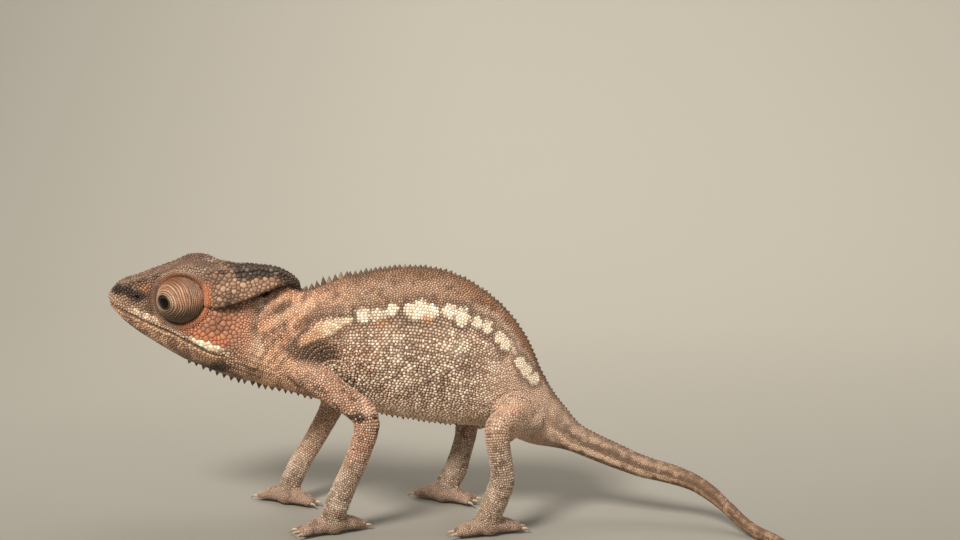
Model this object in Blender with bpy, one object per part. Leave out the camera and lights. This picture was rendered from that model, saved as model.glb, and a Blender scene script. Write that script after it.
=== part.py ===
"""A young panther chameleon standing on a floor, life size, as a museum's still model.

+Z is up, the head points to -X and the animal's left side faces -Y. The sizes below are in millimetres,
measured from the floor under the animal's midline. All pieces hang on one empty, which stands so that the
world's origin is the floor point under the middle of the whole animal's box.
"""

import math

import bmesh
import bpy
import numpy as np

MM = 0.001
GAP = 0.3

# Neck and body: back x, back z, belly x, belly z, half width
BODY = (
    (-45.4, 49.6, -50.9, 31.0, 5.8),
    (-41.2, 50.8, -46.9, 29.2, 6.3),
    (-36.9, 49.8, -42.4, 28.1, 6.9),
    (-33.0, 51.2, -37.0, 26.6, 7.8),
    (-27.7, 52.9, -29.7, 24.6, 8.8),
    (-21.3, 54.1, -22.4, 23.1, 9.5),
    (-14.9, 54.8, -16.2, 22.0, 9.8),
    (-8.3, 54.1, -10.8, 21.1, 9.7),
    (-1.9, 51.5, -6.0, 20.5, 9.2),
    (3.9, 47.3, -1.3, 20.2, 8.3),
    (7.9, 42.7, 2.8, 19.6, 7.2),
    (11.0, 37.5, 6.0, 18.4, 6.0),
    (13.2, 32.3, 8.9, 16.8, 4.9),
    (15.8, 27.7, 12.0, 15.8, 4.1),
    (18.8, 23.8, 15.8, 15.2, 3.4),
)
BODY_KEEL = 0.32
TAIL_KEEL = 0.10

# Tail down to the floor: x, y, z, half height, half width
TAIL = (
    (20.1, -0.3, 17.6, 3.3, 2.85),
    (24.2, -0.7, 15.8, 2.95, 2.5),
    (29.3, -1.3, 13.7, 2.75, 2.35),
    (34.7, -2.2, 11.7, 2.5, 2.15),
    (40.3, -3.6, 10.5, 2.25, 1.95),
    (45.2, -5.4, 9.2, 2.0, 1.8),
    (49.0, -7.5, 7.2, 1.8, 1.65),
    (52.1, -10.1, 4.9, 1.6, 1.45),
    (54.9, -13.0, 2.6, 1.5, 1.4),
    (57.4, -16.0, 1.45, 1.45, 1.35),
)
# Tail along the floor, worked out as an arc that tightens
FLOOR_STEPS = 14
FLOOR_STEP = 3.1
FLOOR_HEADING = -50.0
FLOOR_TURNS = (-5.0, -17.0)
TIP_RADIUS = 0.42
TAIL_SINK = 0.10

# Where the long loft is parted, as places in the rows above
NECK_END = 2.05
TORSO_END = 12.4
TAIL_PARTS = (("tail_base", 17.5), ("tail_middle", 23.0), ("tail_end", 30.0), ("tail_tip", None))

# Skull: x, ridge z, ridge half width, crown dip, cheek z, cheek half width, chin z, chin half width
SKULL = (
    (-79.0, 49.0, 0.6, 0.0, 48.1, 0.9, 47.7, 0.5),
    (-78.5, 50.0, 1.2, 0.0, 47.8, 1.9, 46.7, 1.0),
    (-77.4, 51.1, 2.0, 0.0, 47.4, 2.9, 45.3, 1.6),
    (-75.9, 51.9, 2.6, 0.1, 46.9, 3.7, 43.6, 2.2),
    (-73.6, 52.5, 3.1, 0.2, 46.1, 4.5, 41.6, 2.6),
    (-70.4, 53.6, 3.7, 0.4, 44.9, 5.4, 39.4, 3.0),
    (-67.5, 54.5, 4.4, 0.4, 43.9, 6.3, 37.5, 3.3),
    (-64.9, 55.5, 5.2, 0.5, 43.0, 7.1, 35.9, 3.5),
    (-62.3, 56.4, 5.6, 0.7, 42.1, 7.7, 34.4, 3.6),
    (-59.9, 56.6, 5.6, 0.8, 41.2, 8.1, 33.5, 3.7),
    (-57.4, 55.9, 5.3, 0.8, 40.4, 8.3, 32.4, 3.8),
    (-55.2, 54.6, 4.9, 0.7, 39.8, 8.3, 31.5, 3.8),
    (-52.7, 53.0, 4.5, 0.8, 39.2, 8.0, 30.7, 3.7),
    (-50.0, 51.2, 4.1, 0.6, 38.8, 7.5, 30.1, 3.4),
    (-47.4, 49.6, 3.6, 0.4, 38.4, 6.8, 30.0, 3.0),
    (-44.6, 47.8, 3.0, 0.2, 38.2, 5.8, 30.6, 2.6),
)
# Casque: x, ridge z, ridge half width, crown dip, lower edge z, lower edge half width
CASQUE = (
    (-61.5, 55.6, 4.9, 0.7, 50.5, 5.6),
    (-58.4, 55.9, 5.2, 0.8, 48.5, 7.0),
    (-55.3, 55.3, 4.9, 0.8, 47.7, 7.9),
    (-52.7, 54.9, 4.2, 0.8, 47.6, 7.9),
    (-50.0, 55.0, 3.6, 0.6, 48.3, 7.4),
    (-47.4, 54.9, 3.2, 0.4, 49.0, 6.6),
    (-44.8, 54.7, 2.8, 0.3, 50.0, 5.4),
    (-42.3, 54.1, 2.3, 0.2, 51.0, 4.2),
    (-40.2, 53.0, 1.7, 0.1, 51.3, 3.0),
    (-38.8, 51.9, 1.0, 0.0, 50.6, 1.7),
    (-38.2, 51.0, 0.4, 0.0, 50.3, 0.6),
)
# The head leans this far to the left, less towards the neck
HEAD_ROLL = math.radians(6.0)
ROLL_HEIGHT = 45.0
ROLL_FULL_X = -60.0
ROLL_NONE_X = -44.0

# Mouth line as x, z, with its end hidden in the seam of the neck
MOUTH = (
    (-84.0, 50.3), (-80.0, 48.3), (-78.0, 47.4), (-75.6, 46.4), (-72.4, 45.1), (-67.6, 43.3),
    (-64.6, 42.3), (-61.4, 40.8), (-59.3, 39.6), (-57.0, 38.3), (-55.1, 37.6), (-52.6, 37.1), (-49.2, 36.8),
)
# Seam of head and neck: behind the casque's tip, under its edge, then down behind the jaw
NECK_SEAM = (
    (-37.2, 58.0), (-37.6, 50.1), (-39.6, 51.0), (-41.4, 51.1), (-43.6, 50.3), (-45.7, 49.5), (-47.8, 48.8),
    (-50.2, 47.6), (-50.6, 44.0), (-49.9, 40.0), (-49.2, 36.8), (-48.7, 33.0), (-47.8, 26.0),
)
LIP_RADIUS = 0.42
LIP_OFFSET = 0.55

EYE_CENTRE = (-62.5, 5.1, 49.2)
EYE_RADIUS = 5.15
LEFT_GAZE = (-0.60, -0.79, -0.04)
RIGHT_GAZE = (-0.46, 0.88, 0.05)
LID_OPENING = 1.45
LID_DEPTH = 1.3
ORBIT_MOUND = 6.2
ORBIT_MOUND_Y = 3.1
NOSTRIL = (-72.1, 4.35, 49.3)
NOSTRIL_RADIUS = 0.55

# Legs from root to palm: x, y, z, radius; left legs have y below zero
LEGS = {
    "fore_left": (
        (-38.6, -2.6, 34.2, 3.5), (-34.8, -7.0, 32.3, 3.3), (-28.9, -10.6, 28.9, 2.9),
        (-23.6, -12.5, 24.7, 2.8), (-25.0, -13.0, 17.7, 2.5), (-27.9, -12.6, 10.9, 2.5),
        (-29.6, -12.4, 6.9, 2.6), (-31.0, -12.2, 3.0, 2.5),
    ),
    "fore_right": (
        (-38.8, 2.0, 32.8, 3.4), (-36.0, 6.6, 30.0, 3.2), (-33.8, 10.8, 25.8, 2.8), (-33.2, 13.0, 21.6, 2.7),
        (-36.3, 12.2, 15.4, 2.4), (-39.9, 10.6, 9.6, 2.4), (-41.6, 9.8, 6.3, 2.5), (-43.0, 9.2, 3.0, 2.4),
    ),
    "hind_left": (
        (9.6, -1.0, 23.2, 3.7), (7.8, -5.6, 23.7, 3.5), (5.6, -9.8, 23.9, 3.1), (3.7, -12.8, 22.5, 2.8),
        (3.9, -13.8, 18.6, 2.55), (4.6, -14.0, 14.4, 2.55), (4.4, -13.7, 10.8, 2.7), (1.6, -13.3, 3.6, 2.7),
    ),
    "hind_right": (
        (8.6, 1.0, 23.2, 3.6), (5.2, 6.2, 23.2, 3.3), (1.2, 10.4, 21.6, 2.9), (-2.4, 12.8, 18.4, 2.7),
        (-3.4, 12.6, 14.0, 2.5), (-4.6, 11.7, 9.9, 2.5), (-5.6, 11.2, 7.0, 2.7), (-8.0, 10.5, 3.2, 2.6),
    ),
}
# Webs of skin behind the thighs, from near the knee to the vent: x, y, z, radius
WEBS = {
    "hind_left": (
        (5.4, -11.2, 20.3, 1.7), (7.0, -9.2, 21.2, 1.95), (8.6, -7.4, 21.5, 2.1), (10.4, -5.2, 21.8, 2.3),
        (12.0, -3.6, 21.6, 2.4),
    ),
    "hind_right": (
        (-0.6, 11.0, 17.9, 1.6), (1.6, 9.0, 19.3, 1.8), (4.6, 6.8, 20.6, 2.1), (8.5, 4.6, 21.3, 2.3),
        (11.5, 2.8, 21.5, 2.4),
    ),
}
KNEE = 3.0
ANKLE = 6.0
# Feet: heading of the forward bundle in degrees from -X, and the toes of the forward and backward bundles
FEET = {
    "fore_left": (-24.0, 3, 2),
    "fore_right": (30.0, 3, 2),
    "hind_left": (-20.0, 2, 3),
    "hind_right": (26.0, 2, 3),
}
BUNDLE = ((0.0, 2.3, 2.3, 2.1), (2.4, 2.1, 2.2, 1.8), (4.6, 1.7, 2.0, 1.5), (6.2, 1.25, 1.6, 1.15))
TOE_LENGTH = 2.3
TOE_RADIUS = 0.85
CLAW_LENGTH = 1.5
CLAW_RADIUS = 0.36

# Crests: first and last place along the rows, spacing, and heights at the start, middle and end
DORSAL = (2.25, 12.2, 1.75, (1.5, 0.8, 0.5))
NECK_VENTRAL = (0.8, 1.85, 1.5, (1.3, 1.1, 0.9))
CHEST_VENTRAL = (2.2, 3.3, 1.6, (0.9, 0.8, 0.6))
BELLY_VENTRAL = (3.7, 9.4, 1.6, (0.8, 0.9, 0.6))
GULAR = (-62.6, -51.4, 1.5, (0.9, 1.3, 1.4))
SPINE_BASE = 0.62
SPINE_SINK = 0.55
RIDGE_STUDS = 9
STUD_RADIUS = 0.62

# Points round each ring of the body, the tail and the legs
BODY_SIDES = 24
TAIL_SIDES = 12
LIMB_SIDES = 12
# The stretch of the body, in rows, that is cut out of the upper legs
CLEARED = (0.3, 13.5)
PALM_HEIGHT = 2.1
PALM_RADIUS = 2.7
PALM_SQUASH = (1.05, 1.0, 0.86)

SKIN = ("skin", (0.36, 0.27, 0.20, 1.0), 0.72)
LIMB = ("limb_skin", (0.40, 0.29, 0.21, 1.0), 0.72)
LID = ("eyelid", (0.47, 0.30, 0.21, 1.0), 0.65)
EYE = ("eye", (0.015, 0.014, 0.013, 1.0), 0.08)


def clear_scene():
    for item in list(bpy.data.objects):
        bpy.data.objects.remove(item)


def material(name, colour, roughness):
    made = bpy.data.materials.get(name) or bpy.data.materials.new(name)
    made.use_nodes = True
    shader = made.node_tree.nodes["Principled BSDF"]
    shader.inputs["Base Color"].default_value = colour
    shader.inputs["Roughness"].default_value = roughness
    shader.inputs["Metallic"].default_value = 0.0
    made.diffuse_color = colour
    return made


def curve_through(rows, places):
    """The rows' values at each place, read from a smooth curve through them."""
    rows = np.asarray(rows, float)
    last = len(rows) - 1
    places = np.clip(np.atleast_1d(np.asarray(places, float)), 0, last)
    first = np.minimum(places.astype(int), last - 1)
    share = (places - first)[:, None]
    a, b = rows[np.maximum(first - 1, 0)], rows[first]
    c, d = rows[first + 1], rows[np.minimum(first + 2, last)]
    cubic = (3 * b - a - 3 * c + d) * share**3
    return 0.5 * (2 * b + (c - a) * share + (2 * a - 5 * b + 4 * c - d) * share**2 + cubic)


def closed_curve(points, steps):
    """A smooth closed line through the points, with that many steps between each two."""
    count = len(points)
    wrapped = [points[i % count] for i in range(-1, count + 2)]
    places = 1 + np.arange(count * steps) / steps
    return curve_through(wrapped, places)


def unit(vectors):
    return vectors / np.linalg.norm(vectors, axis=-1, keepdims=True)


def smooth_step(value, low, high):
    share = np.clip((value - low) / (high - low), 0, 1)
    return share * share * (3 - 2 * share)


def object_from(name, points, faces):
    """A linked object whose mesh has these points, in millimetres, and faces that point outwards."""
    mesh = bpy.data.meshes.new(name)
    mesh.from_pydata([tuple(p * MM) for p in np.asarray(points, float)], [], faces)
    work = bmesh.new()
    work.from_mesh(mesh)
    bmesh.ops.recalc_face_normals(work, faces=work.faces)
    bmesh.ops.triangulate(work, faces=work.faces)
    work.to_mesh(mesh)
    work.free()
    made = bpy.data.objects.new(name, mesh)
    bpy.context.scene.collection.objects.link(made)
    return made


def loft(name, rings):
    """A closed body through rings with equal numbers of points, its two ends fanned to their middles."""
    rings = [np.asarray(ring, float) for ring in rings]
    around = len(rings[0])
    points = np.concatenate([*rings, [rings[0].mean(0)], [rings[-1].mean(0)]])
    head, foot = len(points) - 2, len(points) - 1
    start = (len(rings) - 1) * around
    faces = []
    for i in range(around):
        j = (i + 1) % around
        faces.append((head, j, i))
        faces.append((foot, start + i, start + j))
        for k in range(len(rings) - 1):
            low, high = k * around, (k + 1) * around
            faces.append((low + i, low + j, high + j, high + i))
    return object_from(name, points, faces)


def evaluated_mesh(target):
    bpy.context.view_layer.update()
    graph = bpy.context.evaluated_depsgraph_get()
    return bpy.data.meshes.new_from_object(target.evaluated_get(graph))


def combine(target, tools, operation):
    """Joins, cuts or intersects target with the tools, applies that and removes the tools."""
    group = bpy.data.collections.new("tools")
    bpy.context.scene.collection.children.link(group)
    for tool in tools:
        group.objects.link(tool)
    modifier = target.modifiers.new("combine", "BOOLEAN")
    modifier.operation = operation
    modifier.operand_type = "COLLECTION"
    modifier.collection = group
    modifier.solver = "EXACT"
    mesh = evaluated_mesh(target)
    target.modifiers.clear()
    target.data = mesh
    for tool in tools:
        bpy.data.objects.remove(tool)
    bpy.data.collections.remove(group)


def islands(mesh):
    """The mesh's separate closed surfaces, each as a set of vertex indices."""
    work = bmesh.new()
    work.from_mesh(mesh)
    left = set(work.verts)
    found = []
    while left:
        group, edge = set(), [left.pop()]
        while edge:
            vertex = edge.pop()
            group.add(vertex)
            for link in vertex.link_edges:
                other = link.other_vert(vertex)
                if other in left:
                    left.remove(other)
                    edge.append(other)
        found.append({v.index for v in group})
    work.free()
    return found


def keep_vertices(mesh, kept):
    work = bmesh.new()
    work.from_mesh(mesh)
    lost = [v for v in work.verts if v.index not in kept]
    bmesh.ops.delete(work, geom=lost, context="VERTS")
    work.to_mesh(mesh)
    work.free()


def keep_largest(target):
    groups = islands(target.data)
    if len(groups) > 1:
        keep_vertices(target.data, max(groups, key=len))


def parted(target, names, middles):
    """One object for each name: the large surface of target whose middle is nearest to that name's."""
    places = np.array([v.co for v in target.data.vertices]) / MM
    groups = sorted(islands(target.data), key=len)[-len(names):]
    centres = [places[sorted(g)].mean(0) for g in groups]
    made = []
    for name, middle in zip(names, middles):
        nearest = int(np.argmin([np.linalg.norm(c - np.array(middle)) for c in centres]))
        mesh = target.data.copy()
        keep_vertices(mesh, groups[nearest])
        piece = bpy.data.objects.new(name, mesh)
        bpy.context.scene.collection.objects.link(piece)
        made.append(piece)
    bpy.data.objects.remove(target)
    return made


def floor_rows():
    """The tail's stretch along the floor, as rows like those of TAIL."""
    x, y = TAIL[-1][0], TAIL[-1][1]
    wide, heading = TAIL[-1][3], math.radians(FLOOR_HEADING)
    rows = []
    for i in range(FLOOR_STEPS):
        share = (i + 1) / FLOOR_STEPS
        heading += math.radians(FLOOR_TURNS[0] + (FLOOR_TURNS[1] - FLOOR_TURNS[0]) * share)
        x += FLOOR_STEP * math.cos(heading)
        y += FLOOR_STEP * math.sin(heading)
        radius = wide + (TIP_RADIUS - wide) * share
        rows.append((x, y, radius - TAIL_SINK, radius, radius))
    return rows


def trunk_rows():
    """Each row of neck, body and tail as its centre, its upward and sideways half vectors and its keel."""
    rows = []
    for back_x, back_z, belly_x, belly_z, width in BODY:
        centre = ((back_x + belly_x) / 2, 0, (back_z + belly_z) / 2)
        rise = ((back_x - belly_x) / 2, 0, (back_z - belly_z) / 2)
        rows.append((*centre, *rise, 0, width, 0, BODY_KEEL))
    tail = [*TAIL, *floor_rows()]
    line = np.array([rows[-1][:3]] + [row[:3] for row in tail])
    along = unit(np.gradient(line, axis=0))[1:]
    for row, way in zip(tail, along):
        across = unit(np.cross((0, 0, 1), way))
        rise = np.cross(way, across)
        rows.append((*row[:3], *(rise * row[3]), *(across * row[4]), TAIL_KEEL))
    return np.array(rows)


def trunk_ring(place, around, grow=0.0):
    """The outline of neck, body or tail at a place along the rows, from the back round to the belly."""
    row = curve_through(TRUNK, place)[0]
    centre, rise, across, keel = row[:3], row[3:6], row[6:9], row[9]
    rise = rise * (1 + grow / np.linalg.norm(rise))
    across = across * (1 + grow / np.linalg.norm(across))
    angle = np.arange(around) * 2 * np.pi / around
    up, out = np.cos(angle), np.sin(angle)
    out = out * (1 - keel * np.clip(up, 0, 1) ** 2 - 0.6 * keel * np.clip(-up, 0, 1) ** 2)
    ring = centre + up[:, None] * rise + out[:, None] * across
    ring[:, 2] = np.maximum(ring[:, 2], 0)
    return ring


def row_spacing(place):
    near = curve_through(TRUNK, [place - 0.05, place + 0.05])[:, :3]
    return np.linalg.norm(near[1] - near[0]) / 0.1


def trunk_piece(name, start, end, around, rings_a_row=2, grow=0.0):
    """A stretch of the trunk, half the gap short at each end that meets another stretch."""
    if start > 0:
        start += GAP / 2 / row_spacing(start)
    if end < len(TRUNK) - 1:
        end -= GAP / 2 / row_spacing(end)
    count = max(3, round((end - start) * rings_a_row) + 1)
    return loft(name, [trunk_ring(p, around, grow) for p in np.linspace(start, end, count)])


def head_roll(points):
    """Points of the head, turned about the head's long axis, less towards the neck."""
    points = np.array(points, float)
    turn = HEAD_ROLL * (1 - smooth_step(points[:, 0], ROLL_FULL_X, ROLL_NONE_X))
    y, z = points[:, 1].copy(), points[:, 2] - ROLL_HEIGHT
    points[:, 1] = y * np.cos(turn) - z * np.sin(turn)
    points[:, 2] = y * np.sin(turn) + z * np.cos(turn) + ROLL_HEIGHT
    return points


def roll_object(target):
    places = head_roll([np.array(v.co) / MM for v in target.data.vertices]) * MM
    target.data.vertices.foreach_set("co", places.ravel())
    target.data.update()


def mirrored(half):
    """A closed outline from its right half, which starts and ends on the midline."""
    return [*half, *[(-y, z) for y, z in reversed(half[1:-1])]]


def skull_outline(row):
    _, ridge_z, ridge_y, dip, cheek_z, cheek_y, chin_z, chin_y = row
    half = [
        (0, ridge_z - dip),
        (0.55 * ridge_y, ridge_z - 0.8 * dip),
        (ridge_y, ridge_z),
        (ridge_y + 0.5 * (cheek_y - ridge_y), ridge_z + 0.4 * (cheek_z - ridge_z)),
        (cheek_y, cheek_z),
        (chin_y + 0.62 * (cheek_y - chin_y), cheek_z + 0.55 * (chin_z - cheek_z)),
        (chin_y, chin_z + 0.12 * (cheek_z - chin_z)),
        (0, chin_z),
    ]
    return mirrored(half)


def casque_outline(row):
    _, ridge_z, ridge_y, dip, edge_z, edge_y = row
    half = [
        (0, ridge_z - dip),
        (0.6 * ridge_y, ridge_z - 0.8 * dip),
        (ridge_y, ridge_z),
        (ridge_y + 0.62 * (edge_y - ridge_y), ridge_z + 0.5 * (edge_z - ridge_z)),
        (edge_y, edge_z + 0.15),
        (0.8 * edge_y, edge_z - 0.15),
        (0, edge_z + 0.2),
    ]
    return mirrored(half)


def section_loft(name, rows, outline, steps, rings_a_row):
    """A closed body through upright outlines, one for each row and those between."""
    places = np.linspace(0, len(rows) - 1, (len(rows) - 1) * rings_a_row + 1)
    rings = []
    for row in curve_through(rows, places):
        line = closed_curve(outline(row), steps)
        rings.append(np.column_stack([np.full(len(line), row[0]), line]))
    return loft(name, rings)


def skull_side(x, z):
    """How far the skull's side stands from its midline at x and z."""
    xs = [row[0] for row in SKULL]
    row = curve_through(SKULL, np.interp(x, xs, range(len(xs))))[0]
    line = closed_curve(skull_outline(row), 4)
    side = line[: len(line) // 2 + 1]
    low = side[np.argmax(side[:, 0]):]
    return float(np.interp(-z, -low[:, 1], low[:, 0]))


def slab(name, line, thickness, half_width):
    """A thin wall that follows a line in the midplane, to part one body into two."""
    line = np.array(line, float)
    steps = unit(np.diff(line, axis=0))
    way = unit(np.concatenate([steps[:1], steps[:-1] + steps[1:], steps[-1:]]))
    slant = np.concatenate([[1], np.sum(way[1:-1] * steps[1:], axis=1), [1]])
    side = np.column_stack([-way[:, 1], way[:, 0]]) * (thickness / 2 / slant)[:, None]
    outline = np.concatenate([line + side, (line - side)[::-1]])
    count, total = len(line), len(outline)
    points = [(x, y, z) for y in (-half_width, half_width) for x, z in outline]
    faces = []
    for i in range(count - 1):
        a, b, c, d = i, i + 1, total - 2 - i, total - 1 - i
        faces.append((a, b, c, d))
        faces.append((total + d, total + c, total + b, total + a))
    for i in range(total):
        j = (i + 1) % total
        faces.append((i, j, total + j, total + i))
    return object_from(name, points, faces)


def ball(name, centre, radius, squash=(1, 1, 1), sides=12):
    """A round body of rings, drawn out or flattened along each axis."""
    rings = []
    for k in range(1, sides // 2):
        tilt = math.pi * k / (sides // 2)
        angle = np.arange(sides) * 2 * np.pi / sides
        ring = np.column_stack([np.cos(angle) * math.sin(tilt), np.sin(angle) * math.sin(tilt),
                                np.full(sides, math.cos(tilt))])
        rings.append(np.array(centre) + ring * radius * np.array(squash))
    return loft(name, rings)


def turned(name, profile, centre, axis, sides):
    """A body of revolution about an axis; the profile's rows are radius and height along it."""
    axis = unit(np.array(axis, float))
    first = unit(np.cross(axis, (0, 0, 1)))
    second = np.cross(axis, first)
    angle = np.arange(sides) * 2 * np.pi / sides
    spoke = np.cos(angle)[:, None] * first + np.sin(angle)[:, None] * second
    rings = [np.array(centre) + spoke * r + axis * h for r, h in profile]
    return loft(name, rings)


def tube(name, line, widths, heights, sides):
    """A body along a line of points, oval across it, with the heights measured upwards."""
    line = np.asarray(line, float)
    way = unit(np.gradient(line, axis=0))
    across = unit(np.cross((0, 0, 1), way))
    rise = np.cross(way, across)
    angle = np.arange(sides) * 2 * np.pi / sides
    rings = []
    for centre, a, r, w, h in zip(line, across, rise, widths, heights):
        rings.append(centre + np.cos(angle)[:, None] * r * h + np.sin(angle)[:, None] * a * w)
    return loft(name, rings)


def spine(name, base, way, along, height):
    """A flattened thorn with its root sunk in; along is the crest's own direction."""
    way, along = unit(np.array(way, float)), unit(np.array(along, float))
    across = np.cross(way, along)
    half = max(SPINE_BASE * (0.6 + 0.35 * height), 0.5)
    root = base - way * SPINE_SINK
    tip = base + way * height + along * 0.25 * height
    long, wide = along * half, across * half * 0.75
    corners = [root + long, root + wide, root - long, root - wide]
    middle = base + way * 0.45 * height + along * 0.06 * height
    waist = [middle + (c - root) * 0.55 for c in corners]
    faces = [(3, 2, 1, 0)]
    for i in range(4):
        j = (i + 1) % 4
        faces.append((i, j, 4 + j, 4 + i))
        faces.append((4 + i, 4 + j, 8))
    return object_from(name, [*corners, *waist, tip], faces)


def heights_along(heights, share):
    return float(np.interp(share, (0, 0.5, 1), heights))


def trunk_crest(crest, under):
    """Thorns along the back, or along the belly where under is true."""
    start, end, spacing, heights = crest
    made, place = [], start
    while place < end:
        row = curve_through(TRUNK, [place, place + 0.02])
        rise = -row[:, 3:6] if under else row[:, 3:6]
        edge = row[:, :3] + rise
        along = unit(edge[1] - edge[0])
        way = unit(rise[0] - along * (rise[0] @ along))
        height = heights_along(heights, (place - start) / (end - start))
        made.append(spine("thorn", edge[0], way, along, height))
        place += spacing * 0.02 / np.linalg.norm(edge[1] - edge[0])
    return made


def gular_crest():
    """Thorns along the chin, from under the eye back to the neck."""
    start, end, spacing, heights = GULAR
    xs = [row[0] for row in SKULL]
    made, x = [], start
    while x < end:
        near = np.array([x, x + 0.1])
        low = np.interp(near, xs, [row[6] for row in SKULL])
        along = unit(np.array([near[1] - near[0], 0, low[1] - low[0]]))
        way = np.array([along[2], 0, -along[0]])
        height = heights_along(heights, (x - start) / (end - start))
        thorn = spine("thorn", np.array([x, 0, low[0]]), way, along, height)
        roll_object(thorn)
        made.append(thorn)
        x += spacing * along[0]
    return made


def eye_centre(side):
    x, y, z = EYE_CENTRE
    return head_roll([(x, side * y, z)])[0]


def eye_parts(side, gaze, name):
    """The eye's turret of fused lids, its small eyeball, and the socket that is cut for it."""
    centre = eye_centre(side)
    start = math.asin(LID_OPENING / EYE_RADIUS)
    angles = np.linspace(start, math.radians(108), 17)
    cone = 0.05 * np.exp(-((angles / 0.7) ** 2))
    folds = 0.012 * np.cos(angles * 24) * np.clip((angles - start) * 4, 0, 1)
    radius = EYE_RADIUS * (1 + cone + folds)
    outer = list(zip(radius * np.sin(angles), radius * np.cos(angles)))
    rim = outer[0][1]
    floor = rim - LID_DEPTH
    turret = [(LID_OPENING * 0.96, floor), (LID_OPENING, rim - 0.25), *outer]
    lid = turned("eyelid_" + name, turret, centre, gaze, 20)
    ball_radius = LID_OPENING - GAP
    eyeball = [(ball_radius, floor + GAP), (ball_radius, rim - 0.45), (ball_radius * 0.8, rim - 0.15),
               (ball_radius * 0.4, rim + 0.02)]
    eye = turned("eye_" + name, eyeball, centre, gaze, 10)
    around = radius.max() + GAP
    cut = np.linspace(math.radians(12), math.radians(108), 12)
    hole = [(around * math.sin(a), around * math.cos(a)) for a in cut]
    last = hole[-1]
    socket = turned("socket", [*hole, (last[0], last[1] - GAP)], centre, gaze, 24)
    return lid, eye, socket


def lip(name, side, offset):
    """A rounded rim along the mouth, on one side, above or below its line."""
    line = []
    for x, z in MOUTH[2:-2]:
        line.append((x, side * (skull_side(x, z + offset) - 0.12), z + offset))
    line = head_roll(line)
    ends = (0, 1, len(line) - 3, len(line) - 1)
    taper = np.interp(np.arange(len(line)), ends, (0.6, 1.0, 1.0, 0.5)) * LIP_RADIUS
    return tube(name, line, taper, taper, 6)


def ridge_studs():
    """Low bosses along the edge of the casque, on both sides."""
    made = []
    for place in np.linspace(1.2, len(CASQUE) - 2.4, RIDGE_STUDS):
        x, z, y = curve_through(CASQUE, place)[0][:3]
        for side in (-1, 1):
            centre = head_roll([(x, side * (y - 0.1), z - 0.12)])[0]
            made.append(ball("stud", centre, STUD_RADIUS, (1.25, 0.9, 0.9), 5))
    return made


def build_head():
    """Head, lower jaw and neck, parted from one body by two thin cuts, with the eyes in their sockets."""
    body = section_loft("front", SKULL, skull_outline, 2, 1)
    casque = section_loft("casque", CASQUE, casque_outline, 2, 1)
    mounds = []
    for side in (-1, 1):
        middle = (EYE_CENTRE[0], side * ORBIT_MOUND_Y, EYE_CENTRE[2] - 0.2)
        mounds.append(ball("mound", middle, ORBIT_MOUND, (1, 1, 0.98), 14))
    for shape in (body, casque, *mounds):
        roll_object(shape)
    neck = trunk_piece("neck_loft", 0, NECK_END, BODY_SIDES)
    combine(body, [casque, *mounds, neck], "UNION")
    cuts = [slab("mouth", MOUTH, GAP, 14), slab("seam", NECK_SEAM, GAP, 14)]
    for side in (-1, 1):
        middle = (NOSTRIL[0], side * NOSTRIL[1], NOSTRIL[2])
        cuts.append(ball("nostril", middle, NOSTRIL_RADIUS, (1.4, 1.2, 0.9), 8))
    for cut in cuts:
        roll_object(cut)
    nodes = []
    for side, gaze, name in ((-1, LEFT_GAZE, "left"), (1, RIGHT_GAZE, "right")):
        lid, eye, socket = eye_parts(side, gaze, name)
        nodes += [(lid, LID), (eye, EYE)]
        cuts.append(socket)
    combine(body, cuts, "DIFFERENCE")
    middles = ((-60, 0, 48), (-64, 0, 38), (-43, 0, 40))
    head, jaw, neck = parted(body, ("head", "lower_jaw", "neck"), middles)
    upper = [lip("upper_lip", side, LIP_OFFSET) for side in (-1, 1)]
    lower = [lip("lower_lip", side, -LIP_OFFSET) for side in (-1, 1)]
    combine(head, [*upper, *ridge_studs()], "UNION")
    combine(jaw, [*lower, *gular_crest()], "UNION")
    combine(neck, trunk_crest(NECK_VENTRAL, True), "UNION")
    return [(head, SKIN), (jaw, SKIN), (neck, SKIN), *nodes]


def build_trunk():
    """Torso with its crests, and the lengths of the tail."""
    torso = trunk_piece("torso", NECK_END, TORSO_END, BODY_SIDES)
    crests = trunk_crest(DORSAL, False) + trunk_crest(CHEST_VENTRAL, True) + trunk_crest(BELLY_VENTRAL, True)
    combine(torso, crests, "UNION")
    nodes = [(torso, SKIN)]
    start = TORSO_END
    for name, end in TAIL_PARTS:
        last = len(TRUNK) - 1 if end is None else end
        nodes.append((trunk_piece(name, start, last, TAIL_SIDES), SKIN))
        start = end
    return nodes


def limb_ring(rows, place, sides, shift=0.0):
    near = curve_through(rows, [place - 0.05, place, place + 0.05])
    way = unit(near[2, :3] - near[0, :3])
    first = unit(np.array((1.0, 0, 0)) - way * way[0])
    second = np.cross(way, first)
    angle = np.arange(sides) * 2 * np.pi / sides
    spoke = np.cos(angle)[:, None] * first + np.sin(angle)[:, None] * second
    return near[1, :3] + way * shift + spoke * near[1, 3]


def limb_piece(name, rows, start, end):
    """A stretch of a leg, half the gap short at its knee and ankle."""
    count = max(3, round((end - start) * 3) + 1)
    places = np.linspace(start, end, count)
    rings = [limb_ring(rows, place, LIMB_SIDES) for place in places]
    if start > 0:
        rings[0] = limb_ring(rows, start, LIMB_SIDES, GAP / 2)
    if end < len(rows) - 1:
        rings[-1] = limb_ring(rows, end, LIMB_SIDES, -GAP / 2)
    return loft(name, rings)


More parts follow.
